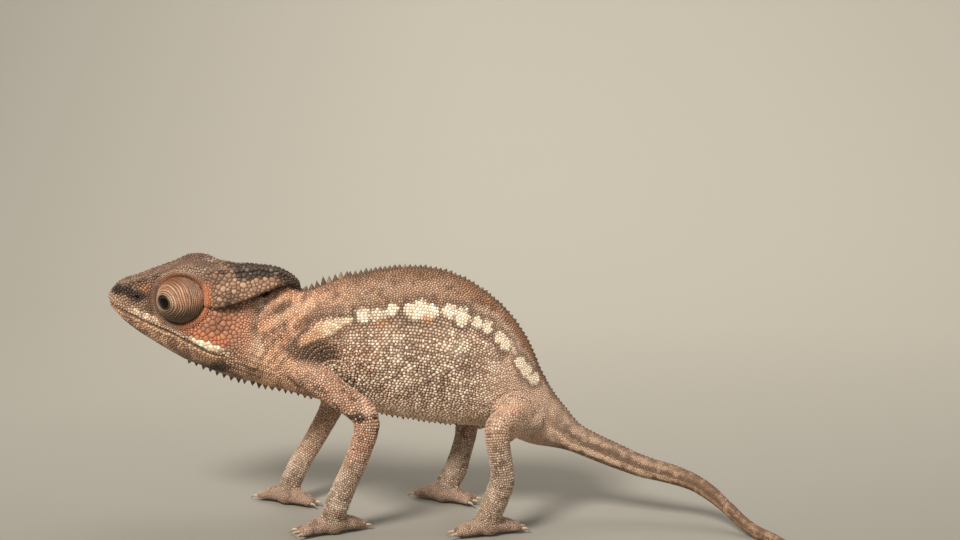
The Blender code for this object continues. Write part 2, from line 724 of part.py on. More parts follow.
def toe_bundle(palm, heading, toes):
    """The fused toes on one side of a foot, with a claw on each."""
    way = np.array([math.cos(heading), math.sin(heading), 0])
    across = np.array([-way[1], way[0], 0])
    line = [palm + way * out + np.array([0, 0, high]) for out, high, _, _ in BUNDLE]
    made = [tube("bundle", line, [b[2] for b in BUNDLE], [b[3] for b in BUNDLE], 8)]
    end = line[-1]
    for i in range(toes):
        share = i - (toes - 1) / 2
        spread = unit(way + across * 0.34 * share)
        root = end - way * 1.2 + across * share * 1.15
        knuckle = root + spread * TOE_LENGTH * 0.55 + np.array([0, 0, 0.18])
        pad = root + spread * TOE_LENGTH - np.array([0, 0, 0.2])
        taper = [TOE_RADIUS, TOE_RADIUS, 0.62 * TOE_RADIUS]
        made.append(tube("toe", [root, knuckle, pad], taper, taper, 5))
        claw_root = pad - spread * 0.4 + np.array([0, 0, 0.1])
        claw_middle = pad + spread * 0.5 * CLAW_LENGTH + np.array([0, 0, 0.12])
        claw_tip = pad + spread * CLAW_LENGTH - np.array([0, 0, 0.55])
        taper = [CLAW_RADIUS, 0.75 * CLAW_RADIUS, 0.08]
        made.append(tube("claw", [claw_root, claw_middle, claw_tip], taper, taper, 4))
    return made


def below_floor(middle):
    """A block whose top is the floor, under and round a point."""
    corners = ((-20, -20), (20, -20), (20, 20), (-20, 20))
    points = [(middle[0] + x, middle[1] + y, z) for z in (-10, 0) for x, y in corners]
    faces = [(0, 3, 2, 1), (4, 5, 6, 7), (0, 1, 5, 4), (1, 2, 6, 5), (2, 3, 7, 6), (3, 0, 4, 7)]
    return object_from("floor_cut", points, faces)


def build_foot(name, rows):
    """A foot from its ankle to its claws, flat where it stands."""
    foot = limb_piece(name + "_foot", rows, ANKLE, len(rows) - 1)
    palm = np.array([rows[-1][0], rows[-1][1], 0.0])
    turn, forward, backward = FEET[name]
    ahead = math.pi - math.radians(turn)
    pieces = [ball("palm", palm + np.array([0, 0, PALM_HEIGHT]), PALM_RADIUS, PALM_SQUASH, 10)]
    pieces += toe_bundle(palm, ahead, forward)
    pieces += toe_bundle(palm, ahead + math.pi, backward)
    combine(foot, pieces, "UNION")
    combine(foot, [below_floor(palm)], "DIFFERENCE")
    return foot


def build_legs():
    """Upper leg, lower leg and foot of each limb, each a node."""
    nodes = []
    for name, rows in LEGS.items():
        upper = limb_piece(name + "_upper", rows, 0, KNEE)
        if name in WEBS:
            web = limb_piece("web", WEBS[name], 0, len(WEBS[name]) - 1)
            grown = [(x, y, z, radius + GAP) for x, y, z, radius in rows]
            combine(web, [limb_piece("cleared_leg", grown, KNEE - 0.25, ANKLE)], "DIFFERENCE")
            combine(upper, [web], "UNION")
        combine(upper, [trunk_piece("cleared_body", *CLEARED, BODY_SIDES, 2, GAP)], "DIFFERENCE")
        keep_largest(upper)
        lower = limb_piece(name + "_lower", rows, KNEE, ANKLE)
        nodes += [(upper, LIMB), (lower, LIMB), (build_foot(name, rows), LIMB)]
    return nodes


def finish_node(node, look):
    keep_largest(node)
    node.data.materials.clear()
    node.data.materials.append(material(*look))
    node.data.shade_smooth()
    node.data.set_sharp_from_angle(angle=math.radians(40))


def stand_on_floor(nodes):
    """Hangs all nodes on one empty and moves that until the origin is under the middle of their box."""
    points = np.concatenate([[v.co for v in node.data.vertices] for node in nodes])
    middle = (points.min(0) + points.max(0)) / 2
    animal = bpy.data.objects.new("panther_chameleon", None)
    animal.empty_display_size = 10 * MM
    bpy.context.scene.collection.objects.link(animal)
    for node in nodes:
        node.parent = animal
    animal.location = (-middle[0], -middle[1], 0)


clear_scene()
TRUNK = trunk_rows()
made_nodes = build_head() + build_trunk() + build_legs()
for made_node, made_look in made_nodes:
    finish_node(made_node, made_look)
stand_on_floor([made_node for made_node, _ in made_nodes])
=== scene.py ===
"""The looks of a young panther chameleon: one skin over the solids' flesh, its granular scales, crests, eye
turrets, eyeballs and claws, on a plain pale floor.

Shapes are worked out in millimetres in the animal's own frame, with the floor at zero, the head towards -X
and the left side towards -Y, and are moved onto the solids when an object is made.
"""

import math

import bpy
import numpy as np
from mathutils.bvhtree import BVHTree
from mathutils.kdtree import KDTree
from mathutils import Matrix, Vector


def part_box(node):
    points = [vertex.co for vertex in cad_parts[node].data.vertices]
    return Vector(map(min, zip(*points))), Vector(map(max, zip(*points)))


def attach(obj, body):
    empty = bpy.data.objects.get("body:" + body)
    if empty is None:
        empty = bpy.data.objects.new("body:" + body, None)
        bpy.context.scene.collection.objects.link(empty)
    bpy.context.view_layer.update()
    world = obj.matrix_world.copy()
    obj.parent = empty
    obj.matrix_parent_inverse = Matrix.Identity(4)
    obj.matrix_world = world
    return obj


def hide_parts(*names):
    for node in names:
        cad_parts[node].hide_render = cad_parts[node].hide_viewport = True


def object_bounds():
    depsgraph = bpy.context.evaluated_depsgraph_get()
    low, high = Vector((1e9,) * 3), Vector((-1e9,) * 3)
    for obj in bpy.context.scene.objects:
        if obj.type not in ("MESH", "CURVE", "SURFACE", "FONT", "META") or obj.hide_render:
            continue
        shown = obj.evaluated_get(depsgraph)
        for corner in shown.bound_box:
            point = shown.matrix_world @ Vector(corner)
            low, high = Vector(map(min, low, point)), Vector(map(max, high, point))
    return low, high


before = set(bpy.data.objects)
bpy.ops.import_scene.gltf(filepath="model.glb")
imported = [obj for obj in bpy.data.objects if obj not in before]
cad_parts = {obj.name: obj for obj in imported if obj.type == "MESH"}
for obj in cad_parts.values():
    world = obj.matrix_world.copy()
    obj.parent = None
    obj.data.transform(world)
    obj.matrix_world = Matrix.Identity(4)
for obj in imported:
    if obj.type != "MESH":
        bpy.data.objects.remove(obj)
CAD_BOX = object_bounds()

MM = 0.001
SNOUT_X = -79.0
SHIFT = np.array([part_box("head")[0][0] / MM - SNOUT_X,
                  (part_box("torso")[0][1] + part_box("torso")[1][1]) / 2 / MM, 0.0])

# Neck and body: back x, back z, belly x, belly z, half width
BODY = (
    (-45.4, 49.6, -50.9, 31.0, 5.8),
    (-41.2, 50.8, -46.9, 29.2, 6.3),
    (-36.9, 49.8, -42.4, 28.1, 6.9),
    (-33.0, 51.2, -37.0, 26.6, 7.8),
    (-27.7, 52.9, -29.7, 24.6, 8.8),
    (-21.3, 54.1, -22.4, 23.1, 9.5),
    (-14.9, 54.8, -16.2, 22.0, 9.8),
    (-8.3, 54.1, -10.8, 21.1, 9.7),
    (-1.9, 51.5, -6.0, 20.5, 9.2),
    (3.9, 47.3, -1.3, 20.2, 8.3),
    (7.9, 42.7, 2.8, 19.6, 7.2),
    (11.0, 37.5, 6.0, 18.4, 6.0),
    (13.2, 32.3, 8.9, 16.8, 4.9),
    (15.8, 27.7, 12.0, 15.8, 4.1),
    (18.8, 23.8, 15.8, 15.2, 3.4),
)
BODY_KEEL = 0.32
TAIL_KEEL = 0.1
# Tail down to the floor: x, y, z, half height, half width
TAIL = (
    (20.1, -0.3, 17.6, 3.3, 2.85),
    (24.2, -0.7, 15.8, 2.95, 2.5),
    (29.3, -1.3, 13.7, 2.75, 2.35),
    (34.7, -2.2, 11.7, 2.5, 2.15),
    (40.3, -3.6, 10.5, 2.25, 1.95),
    (45.2, -5.4, 9.2, 2.0, 1.8),
    (49.0, -7.5, 7.2, 1.8, 1.65),
    (52.1, -10.1, 4.9, 1.6, 1.45),
    (54.9, -13.0, 2.6, 1.5, 1.4),
    (57.4, -16.0, 1.45, 1.45, 1.35),
)
FLOOR_STEPS = 14
FLOOR_STEP = 3.1
FLOOR_HEADING = -50.0
FLOOR_TURNS = (-5.0, -17.0)
TIP_RADIUS = 0.42
TAIL_SINK = 0.1

# Skull: x, ridge z, ridge half width, crown dip, cheek z, cheek half width, chin z, chin half width
SKULL = (
    (-79.0, 49.0, 0.6, 0.0, 48.1, 0.9, 47.7, 0.5),
    (-78.5, 50.0, 1.2, 0.0, 47.8, 1.9, 46.7, 1.0),
    (-77.4, 51.1, 2.0, 0.0, 47.4, 2.9, 45.3, 1.6),
    (-75.9, 51.9, 2.6, 0.1, 46.9, 3.7, 43.6, 2.2),
    (-73.6, 52.5, 3.1, 0.2, 46.1, 4.5, 41.6, 2.6),
    (-70.4, 53.6, 3.7, 0.4, 44.9, 5.4, 39.4, 3.0),
    (-67.5, 54.5, 4.4, 0.4, 43.9, 6.3, 37.5, 3.3),
    (-64.9, 55.5, 5.2, 0.5, 43.0, 7.1, 35.9, 3.5),
    (-62.3, 56.4, 5.6, 0.7, 42.1, 7.7, 34.4, 3.6),
    (-59.9, 56.6, 5.6, 0.8, 41.2, 8.1, 33.5, 3.7),
    (-57.4, 55.9, 5.3, 0.8, 40.4, 8.3, 32.4, 3.8),
    (-55.2, 54.6, 4.9, 0.7, 39.8, 8.3, 31.5, 3.8),
    (-52.7, 53.0, 4.5, 0.8, 39.2, 8.0, 30.7, 3.7),
    (-50.0, 51.2, 4.1, 0.6, 38.8, 7.5, 30.1, 3.4),
    (-47.4, 49.6, 3.6, 0.4, 38.4, 6.8, 30.0, 3.0),
    (-44.6, 47.8, 3.0, 0.2, 38.2, 5.8, 30.6, 2.6),
)
# Casque: x, ridge z, ridge half width, crown dip, lower edge z, lower edge half width
CASQUE = (
    (-61.5, 55.6, 4.9, 0.7, 50.5, 5.6),
    (-58.4, 55.9, 5.2, 0.8, 48.5, 7.0),
    (-55.3, 55.3, 4.9, 0.8, 47.7, 7.9),
    (-52.7, 54.9, 4.2, 0.8, 47.6, 7.9),
    (-50.0, 55.0, 3.6, 0.6, 48.3, 7.4),
    (-47.4, 54.9, 3.2, 0.4, 49.0, 6.6),
    (-44.8, 54.7, 2.8, 0.3, 50.0, 5.4),
    (-42.3, 54.1, 2.3, 0.2, 51.0, 4.2),
    (-40.2, 53.0, 1.7, 0.1, 51.3, 3.0),
    (-38.8, 51.9, 1.0, 0.0, 50.6, 1.7),
    (-38.2, 51.0, 0.4, 0.0, 50.3, 0.6),
)
HEAD_ROLL = math.radians(6.0)
ROLL_HEIGHT = 45.0
ROLL_FULL_X = -60.0
ROLL_NONE_X = -44.0
# Mouth line as x, z, from the snout to its corner
MOUTH = (
    (-80.0, 48.3), (-78.0, 47.4), (-75.6, 46.4), (-72.4, 45.1), (-67.6, 43.3), (-64.6, 42.3), (-61.4, 40.8),
    (-59.3, 39.6), (-57.0, 38.3), (-55.1, 37.6), (-53.2, 37.2),
)
EYE_CENTRE = (-62.5, 5.1, 49.2)
EYE_RADIUS = 5.15
LEFT_GAZE = (-0.6, -0.79, -0.04)
RIGHT_GAZE = (-0.46, 0.88, 0.05)
LID_OPENING = 1.55
LID_STRETCH = 0.18
LID_DEPTH = 1.3
EYEBALL_WIDTH = 0.9
EYEBALL_DEPTH = 0.34
EYEBALL_BULGE = 0.48
ORBIT_MOUND = 6.2
ORBIT_MOUND_Y = 3.1
TURRET_GRID = (300, 190)
TURRET_END = math.radians(108)
TURRET_FOLDS = 16
TURRET_SINK = 0.27
GRANULE = 0.46
NOSTRIL = (-72.1, 4.35, 49.3)
# Hump of the nape behind the casque
NAPE = (-42.6, 0, 50.1)
NAPE_HALVES = (4.4, 2.3, 1.9)
NAPE_PLACE = 0.6
# Legs from root to palm: x, y, z, radius
LEGS = {
    "fore_left": (
        (-38.6, -2.6, 34.2, 3.5), (-34.8, -7.0, 32.3, 3.3), (-28.9, -10.6, 28.9, 2.9),
        (-23.6, -12.5, 24.7, 2.8), (-25.0, -13.0, 17.7, 2.5), (-27.9, -12.6, 10.9, 2.5),
        (-29.6, -12.4, 6.9, 2.6), (-31.0, -12.2, 3.0, 2.5),
    ),
    "fore_right": (
        (-38.8, 2.0, 32.8, 3.4), (-36.0, 6.6, 30.0, 3.2), (-33.8, 10.8, 25.8, 2.8),
        (-33.2, 13.0, 21.6, 2.7), (-36.3, 12.2, 15.4, 2.4), (-39.9, 10.6, 9.6, 2.4),
        (-41.6, 9.8, 6.3, 2.5), (-43.0, 9.2, 3.0, 2.4),
    ),
    "hind_left": (
        (9.6, -1.0, 23.2, 3.7), (7.8, -5.6, 23.7, 3.5), (5.6, -9.8, 23.9, 3.1),
        (3.7, -12.8, 22.5, 2.8), (3.9, -13.8, 18.6, 2.55), (4.6, -14.0, 14.4, 2.55),
        (4.4, -13.7, 10.8, 2.7), (1.6, -13.3, 3.6, 2.7),
    ),
    "hind_right": (
        (8.6, 1.0, 23.2, 3.6), (5.2, 6.2, 23.2, 3.3), (1.2, 10.4, 21.6, 2.9), (-2.4, 12.8, 18.4, 2.7),
        (-3.4, 12.6, 14.0, 2.5), (-4.6, 11.7, 9.9, 2.5), (-5.6, 11.2, 7.0, 2.7),
        (-8.0, 10.5, 3.2, 2.6),
    ),
}
# Webs of skin behind the thighs, from near the knee to the vent: x, y, z, radius
WEBS = {
    "hind_left": (
        (5.4, -11.2, 20.3, 1.7), (7.0, -9.2, 21.2, 1.95), (8.6, -7.4, 21.5, 2.1), (10.4, -5.2, 21.8, 2.3),
        (12.0, -3.6, 21.6, 2.4),
    ),
    "hind_right": (
        (-0.6, 11.0, 17.9, 1.6), (1.6, 9.0, 19.3, 1.8), (4.6, 6.8, 20.6, 2.1), (8.5, 4.6, 21.3, 2.3),
        (11.5, 2.8, 21.5, 2.4),
    ),
}
FEET = {
    "fore_left": (-24.0, 3, 2),
    "fore_right": (30.0, 3, 2),
    "hind_left": (-20.0, 2, 3),
    "hind_right": (26.0, 2, 3),
}
BUNDLE = ((0.0, 2.3, 2.3, 2.1), (2.4, 2.1, 2.2, 1.8), (4.6, 1.7, 2.0, 1.5), (6.2, 1.25, 1.6, 1.15))
TOE_LENGTH = 2.3
TOE_RADIUS = 0.85
CLAW_LENGTH = 1.5
CLAW_RADIUS = 0.36
TOE_ROOT = 1.2
TOE_SPACING = 1.15
TOE_SPREAD = 0.34
PAD_DROP = 0.2
PALM_HEIGHT = 2.1
PALM_RADIUS = 2.7
PALM_HALVES = (1.05, 1.0, 0.86)

UP = np.array([0.0, 0.0, 1.0])

# Skin
VOXEL = 0.34
SKIN_SINK = 0.16
SAMPLES_A_SCALE = 7
RELAXATIONS = 8
FREE_ROUNDS = 2
SORT_CELL = 0.5
HEXAGON_AREA = 0.866
HELD_GAP = 0.8
CLOSEST_GAP = 0.6
NEIGHBOURS = 12
OUTLINE_POWER = 14
PIECE_MARGIN = 2.2
SEED_LIFT = 0.3
LENGTH_STEPS = 40
ROW_GAP = 0.47
FLANK_ROW_GAP = 0.62
FLANK_HALF_HEIGHT = 16.4
TAIL_ROW_GAP = 0.37
RING_GAP = 0.31
SOCKET_REACH = 1.35
CHART_SPREAD = 0.0015
NORMAL_ROUNDS = 3
COAT_NORMAL_ROUNDS = 4
PITCH_ROUNDS = 12
FLOOR_GAP = 0.02
BOX_MARGIN = 0.005
LOW_JAW_END = -53.5
NOISE_PRIMES = np.array([73856093, 19349663, 83492791])
SEED = 7

# Labels of the source shapes
TRUNK_LABEL, SKULL_LABEL, CASQUE_LABEL, MOUND_LABEL, LEG_LABEL, FOOT_LABEL = range(6)
CASQUE_EDGE = [(row[0], row[4]) for row in CASQUE[1:]]


def unit(vectors):
    return vectors / np.maximum(np.linalg.norm(vectors, axis=-1, keepdims=True), 1e-9)


def ramp(value, low, high):
    """A smooth change from 0 at low to 1 at high, whichever of the two is greater."""
    share = np.clip((value - low) / (high - low), 0, 1)
    return share * share * (3 - 2 * share)


def bell(value, middle, half):
    """1 at the middle, falling off evenly on both sides."""
    return np.exp(-(((value - middle) / half) ** 2))


def between(start, end, share):
    return start + (end - start) * share


def turns(count):
    """The angles of a ring's corners."""
    return np.arange(count) * 2 * np.pi / count


def spokes(angle, first, second):
    """The directions at the angles, from the first direction towards the second."""
    return np.cos(angle)[..., None] * first + np.sin(angle)[..., None] * second


def curve_through(rows, places):
    """The rows' values at each place, read from a smooth curve through them."""
    rows = np.asarray(rows, float)
    last = len(rows) - 1
    places = np.clip(np.atleast_1d(np.asarray(places, float)), 0, last)
    first = np.minimum(places.astype(int), last - 1)
    share = (places - first)[:, None]
    a, b = rows[np.maximum(first - 1, 0)], rows[first]
    c, d = rows[first + 1], rows[np.minimum(first + 2, last)]
    cubic = (3 * b - a - 3 * c + d) * share**3
    return 0.5 * (2 * b + (c - a) * share + (2 * a - 5 * b + 4 * c - d) * share**2 + cubic)


def closed_curve(points, steps):
    count = len(points)
    wrapped = [points[i % count] for i in range(-1, count + 2)]
    return curve_through(wrapped, 1 + np.arange(count * steps) / steps)


def lattice_noise(points, cell, seed):
    """Smooth random values from 0 to 1 in space, about one cell across."""
    scaled = np.asarray(points, float) / cell + 137.3 * (seed + 1)
    base = np.floor(scaled).astype(np.int64)
    share = scaled - base
    share = share * share * (3 - 2 * share)
    total = np.zeros(len(scaled))
    for corner in range(8):
        step = np.array([corner & 1, corner >> 1 & 1, corner >> 2 & 1])
        key = (base + step) @ NOISE_PRIMES + seed * 2654435761
        key = (key ^ (key >> 13)) * 1274126177 & 0x7FFFFFFF
        key = (key ^ (key >> 15)) * 2246822519 & 0x7FFFFFFF
        weight = np.prod(np.where(step, share, 1 - share), axis=1)
        total += weight * (key & 0xFFFF) / 65535.0
    return total


def layered_noise(points, cell, seed):
    return 0.6 * lattice_noise(points, cell, seed) + 0.4 * lattice_noise(points, cell * 0.47, seed + 11)


def floor_rows():
    """The tail's stretch along the floor, as rows like those of TAIL."""
    x, y = TAIL[-1][0], TAIL[-1][1]
    wide, heading = TAIL[-1][3], math.radians(FLOOR_HEADING)
    rows = []
    for i in range(FLOOR_STEPS):
        share = (i + 1) / FLOOR_STEPS
        heading += math.radians(FLOOR_TURNS[0] + (FLOOR_TURNS[1] - FLOOR_TURNS[0]) * share)
        x += FLOOR_STEP * math.cos(heading)
        y += FLOOR_STEP * math.sin(heading)
        radius = wide + (TIP_RADIUS - wide) * share
        rows.append((x, y, radius - TAIL_SINK, radius, radius))
    return rows


def trunk_rows():
    """Each row of neck, body and tail as its centre, its upward and sideways half vectors and its keel."""
    rows = []
    for back_x, back_z, belly_x, belly_z, width in BODY:
        centre = ((back_x + belly_x) / 2, 0, (back_z + belly_z) / 2)
        rise = ((back_x - belly_x) / 2, 0, (back_z - belly_z) / 2)
        rows.append((*centre, *rise, 0, width, 0, BODY_KEEL))
    tail = [*TAIL, *floor_rows()]
    line = np.array([rows[-1][:3]] + [row[:3] for row in tail])
    along = unit(np.gradient(line, axis=0))[1:]
    for row, way in zip(tail, along):
        across = unit(np.cross((0, 0, 1), way))
        rise = np.cross(way, across)
        rows.append((*row[:3], *(rise * row[3]), *(across * row[4]), TAIL_KEEL))
    return np.array(rows)


TRUNK = trunk_rows()


def trunk_ring(place, around):
    row = curve_through(TRUNK, place)[0]
    centre, rise, across, keel = row[:3], row[3:6], row[6:9], row[9]
    angle = turns(around)
    up = np.cos(angle)
    out = np.sin(angle) * (1 - keel * np.clip(up, 0, 1) ** 2 - 0.6 * keel * np.clip(-up, 0, 1) ** 2)
    ring = centre + up[:, None] * rise + out[:, None] * across
    ring[:, 2] = np.maximum(ring[:, 2], 0)
    return ring


def head_roll(points, back=False):
    """Points of the head turned about its long axis, or turned back upright."""
    points = np.array(points, float)
    turn = HEAD_ROLL * ramp(points[:, 0], ROLL_NONE_X, ROLL_FULL_X) * (-1 if back else 1)
    y, z = points[:, 1].copy(), points[:, 2] - ROLL_HEIGHT
    points[:, 1] = y * np.cos(turn) - z * np.sin(turn)
    points[:, 2] = y * np.sin(turn) + z * np.cos(turn) + ROLL_HEIGHT
    return points


def head_point(place, side=1):
    """A place of the upright head on one side, turned as the head is."""
    x, y, z = place
    return head_roll([(x, side * y, z)])[0]


def mirrored(half):
    return [*half, *[(-y, z) for y, z in reversed(half[1:-1])]]


def skull_outline(row):
    _, ridge_z, ridge_y, dip, cheek_z, cheek_y, chin_z, chin_y = row
    return mirrored([
        (0, ridge_z - dip),
        (0.55 * ridge_y, ridge_z - 0.8 * dip),
        (ridge_y, ridge_z),
        (between(ridge_y, cheek_y, 0.5), between(ridge_z, cheek_z, 0.4)),
        (cheek_y, cheek_z),
        (between(chin_y, cheek_y, 0.62), between(cheek_z, chin_z, 0.55)),
        (chin_y, between(chin_z, cheek_z, 0.12)),
        (0, chin_z),
    ])


def casque_outline(row):
    _, ridge_z, ridge_y, dip, edge_z, edge_y = row
    return mirrored([
        (0, ridge_z - dip),
        (0.6 * ridge_y, ridge_z - 0.8 * dip),
        (ridge_y, ridge_z),
        (between(ridge_y, edge_y, 0.62), between(ridge_z, edge_z, 0.5)),
        (edge_y, edge_z + 0.15),
        (0.8 * edge_y, edge_z - 0.15),
        (0, edge_z + 0.2),
    ])


def even_places(rows, steps):
    """Places along the rows, so many to each stretch between two of them."""
    return np.linspace(0, len(rows) - 1, (len(rows) - 1) * steps + 1)


def limb_ring(rows, place, sides):
    near = curve_through(rows, [place - 0.05, place, place + 0.05])
    way = unit(near[2, :3] - near[0, :3])
    first = unit(np.array((1.0, 0, 0)) - way * way[0])
    return near[1, :3] + spokes(turns(sides), first, np.cross(way, first)) * near[1, 3]


def tube_rings(line, widths, heights, sides):
    way = unit(np.gradient(line, axis=0))
    across = unit(np.cross(UP, way))
    rise = np.cross(way, across)
    return [centre + spokes(turns(sides), r * high, a * wide)
            for centre, a, r, wide, high in zip(line, across, rise, widths, heights)]


def ball_rings(centre, radius, squash, sides):
    rings = []
    for tilt in math.pi * np.arange(1, sides // 2) / (sides // 2):
        ring = spokes(turns(sides), (math.sin(tilt), 0, 0), (0, math.sin(tilt), 0)) + UP * math.cos(tilt)
        rings.append(centre + ring * radius * np.array(squash))
    return rings


def band(low, high, around):
    """Triangles between two rings of points that start at low and at high."""
    i = np.arange(around)
    j = (i + 1) % around
    return [np.column_stack([low + i, low + j, high + j]), np.column_stack([low + i, high + j, high + i])]


def closed_body(rings, tip=None):
    """The points and triangles of a body of rings, with the middles of its ends after the rings' points."""
    count, around = len(rings), len(rings[0])
    points = np.concatenate([*rings, [rings[0].mean(0)], [rings[-1].mean(0) if tip is None else tip]])
    i = np.arange(around)
    j = (i + 1) % around
    last = (count - 1) * around
    faces = [np.column_stack([np.full(around, count * around), j, i]),
             np.column_stack([np.full(around, count * around + 1), last + i, last + j])]
    for low in range(0, last, around):
        faces += band(low, low + around, around)
    return points, np.concatenate(faces)


class Joined:
    """Many bodies gathered into one mesh, each with values at its points."""

    def __init__(self):
        self.parts, self.total = [], 0

    def add(self, points, faces, *values):
        self.parts.append((points, faces + self.total, *values))
        self.total += len(points)

    def whole(self):
        return [np.concatenate(column) for column in zip(*self.parts)]

    def flesh(self, rings, label, leg=-1, along=None):
        """Adds a source shape of the skin, each point with its label, leg, place along and angle."""
        points, faces = closed_body(rings)
        a, b, c = points[faces].transpose(1, 0, 2)
        if np.sum(a * np.cross(b, c)) < 0:
            faces = faces[:, ::-1]
        around = len(rings[0])
        along = np.arange(len(rings)) if along is None else along
        place = np.concatenate([np.repeat(along, around), [along[0], along[-1]]])
        angle = np.concatenate([np.tile(turns(around), len(rings)), [0, 0]])
        owner = np.tile((label, leg), (len(points), 1))
        self.add(points, faces, np.column_stack([owner, place, np.cos(angle), np.sin(angle)]))


def toe_lines(palm, heading, toes):
    """The middle line of a bundle of toes, and those of its toes and claws."""
    way = np.array([math.cos(heading), math.sin(heading), 0])
    across = np.array([-way[1], way[0], 0])
    bundle = [palm + way * out + UP * high for out, high, _, _ in BUNDLE]
    toe_list, claws = [], []
    for share in np.arange(toes) - (toes - 1) / 2:
        spread = unit(way + across * TOE_SPREAD * share)
        root = bundle[-1] - way * TOE_ROOT + across * share * TOE_SPACING
        pad = root + spread * TOE_LENGTH - UP * PAD_DROP
        toe_list.append([root, root + spread * TOE_LENGTH * 0.55 + UP * 0.18, pad])
        claws.append([pad - spread * 0.4 + UP * 0.1, pad + spread * 0.5 * CLAW_LENGTH + UP * 0.12,
                      pad + spread * CLAW_LENGTH - UP * 0.55])
    return bundle, toe_list, claws


def foot_bundles(name):
    palm = np.array([*LEGS[name][-1][:2], 0.0])
    turn, forward, backward = FEET[name]
    ahead = math.pi - math.radians(turn)
    return palm, [toe_lines(palm, ahead, forward), toe_lines(palm, ahead + math.pi, backward)]


# Corners of the shapes' rings, and rings to each stretch between two rows
TRUNK_SIDES = 72
TRUNK_STEPS = 5
HEAD_STEPS = 4
OUTLINE_STEPS = 5
NAPE_SIDES = 20
MOUND_SIDES = 32
LEG_SIDES = 28
LEG_STEPS = 7
WEB_SIDES = 20
WEB_RINGS = 13
WEB_PLACES = (1.5, 0.4)
FOOT_SIDES = 20
FOOT_STEPS = 4
TOE_SIDES = 14


def source_shapes():
    """All flesh as closed shapes that run into one another."""
    shapes = Joined()
    places = even_places(TRUNK, TRUNK_STEPS)
    shapes.flesh([trunk_ring(p, TRUNK_SIDES) for p in places], TRUNK_LABEL, along=places)
    for rows, outline, label in ((SKULL, skull_outline, SKULL_LABEL), (CASQUE, casque_outline, CASQUE_LABEL)):
        places = even_places(rows, HEAD_STEPS)
        rings = []
        for row in curve_through(rows, places):
            line = closed_curve(outline(row), OUTLINE_STEPS)
            rings.append(head_roll(np.column_stack([np.full(len(line), row[0]), line])))
        shapes.flesh(rings, label, along=places)
    rings = ball_rings(NAPE, 1.0, NAPE_HALVES, NAPE_SIDES)
    shapes.flesh(rings, TRUNK_LABEL, along=np.full(len(rings), NAPE_PLACE))
    for side in (-1, 1):
        centre = (EYE_CENTRE[0], side * ORBIT_MOUND_Y, EYE_CENTRE[2] - 0.2)
        rings = ball_rings(centre, ORBIT_MOUND, (1, 1, 0.98), MOUND_SIDES)
        shapes.flesh([head_roll(ring) for ring in rings], MOUND_LABEL)
    for index, (name, rows) in enumerate(LEGS.items()):
        places = even_places(rows, LEG_STEPS)
        shapes.flesh([limb_ring(rows, p, LEG_SIDES) for p in places], LEG_LABEL, index, places)
        if name in WEBS:
            web = WEBS[name]
            rings = [limb_ring(web, p, WEB_SIDES) for p in np.linspace(0, len(web) - 1, WEB_RINGS)]
            shapes.flesh(rings, LEG_LABEL, index, np.linspace(*WEB_PLACES, WEB_RINGS))
        palm, bundles = foot_bundles(name)
        rings = ball_rings(palm + UP * PALM_HEIGHT, PALM_RADIUS, PALM_HALVES, FOOT_SIDES)
        shapes.flesh(rings, FOOT_LABEL, index)
        for bundle, toes, _ in bundles:
            line, size = (curve_through(table, even_places(table, FOOT_STEPS)) for table in (bundle, BUNDLE))
            shapes.flesh(tube_rings(line, size[:, 2], size[:, 3], FOOT_SIDES), FOOT_LABEL, index)
            for toe in toes:
                line = curve_through(toe, even_places(toe, FOOT_STEPS))
                width = TOE_RADIUS * np.interp(np.linspace(0, 1, len(line)), (0, 0.6, 1), (1, 1, 0.68))
                shapes.flesh(tube_rings(line, width, width, TOE_SIDES), FOOT_LABEL, index)
    points, faces, facts = shapes.whole()
    points[:, 2] = np.maximum(points[:, 2], 0)
    return points, faces, facts


def new_mesh(name, points, faces):
    """A mesh of triangles from arrays, in the units that they are in."""
    mesh = bpy.data.meshes.new(name)
    mesh.vertices.add(len(points))
    mesh.vertices.foreach_set("co", np.ascontiguousarray(points, np.float32).ravel())
    mesh.loops.add(3 * len(faces))
    mesh.loops.foreach_set("vertex_index", np.ascontiguousarray(faces, np.int32).ravel())
    mesh.polygons.add(len(faces))
    mesh.polygons.foreach_set("loop_start", np.arange(0, 3 * len(faces), 3, dtype=np.int32))
    mesh.update(calc_edges=True)
    return mesh


def coloured_object(name, points, faces, colours):
    """An object from points in metres, with a colour at each."""
    mesh = new_mesh(name, points, faces)
    layer = mesh.color_attributes.new("coat", "FLOAT_COLOR", "POINT")
    values = np.column_stack([colours, np.ones(len(colours))])
    layer.data.foreach_set("color", values.astype(np.float32).ravel())
    mesh.polygons.foreach_set("use_smooth", np.full(len(faces), True))
    made = bpy.data.objects.new(name, mesh)
    bpy.context.scene.collection.objects.link(made)
    return made


def placed(name, points, faces, colours):
    """An object in the solids' place, from points in millimetres."""
    return coloured_object(name, (points + SHIFT) * MM, faces, colours)


def fused_skin(points, faces):
    """One surface round all the shapes, with their joins softened, as points and triangles."""
    mesh = new_mesh("shapes", points, faces)
    work = bpy.data.objects.new("shapes", mesh)
    bpy.context.scene.collection.objects.link(work)
    remesh = work.modifiers.new("fuse", "REMESH")
    remesh.mode = "VOXEL"
    remesh.voxel_size = VOXEL
    soften = work.modifiers.new("soften", "SMOOTH")
    soften.factor = 0.5
    soften.iterations = 5
    bpy.context.view_layer.update()
    result = bpy.data.meshes.new_from_object(work.evaluated_get(bpy.context.evaluated_depsgraph_get()))
    bpy.data.objects.remove(work)
    result.calc_loop_triangles()
    places = np.empty(len(result.vertices) * 3, np.float32)
    result.vertices.foreach_get("co", places)
    corners = np.empty(len(result.loop_triangles) * 3, np.int32)
    result.loop_triangles.foreach_get("vertices", corners)
    return places.reshape(-1, 3).astype(float), corners.reshape(-1, 3)


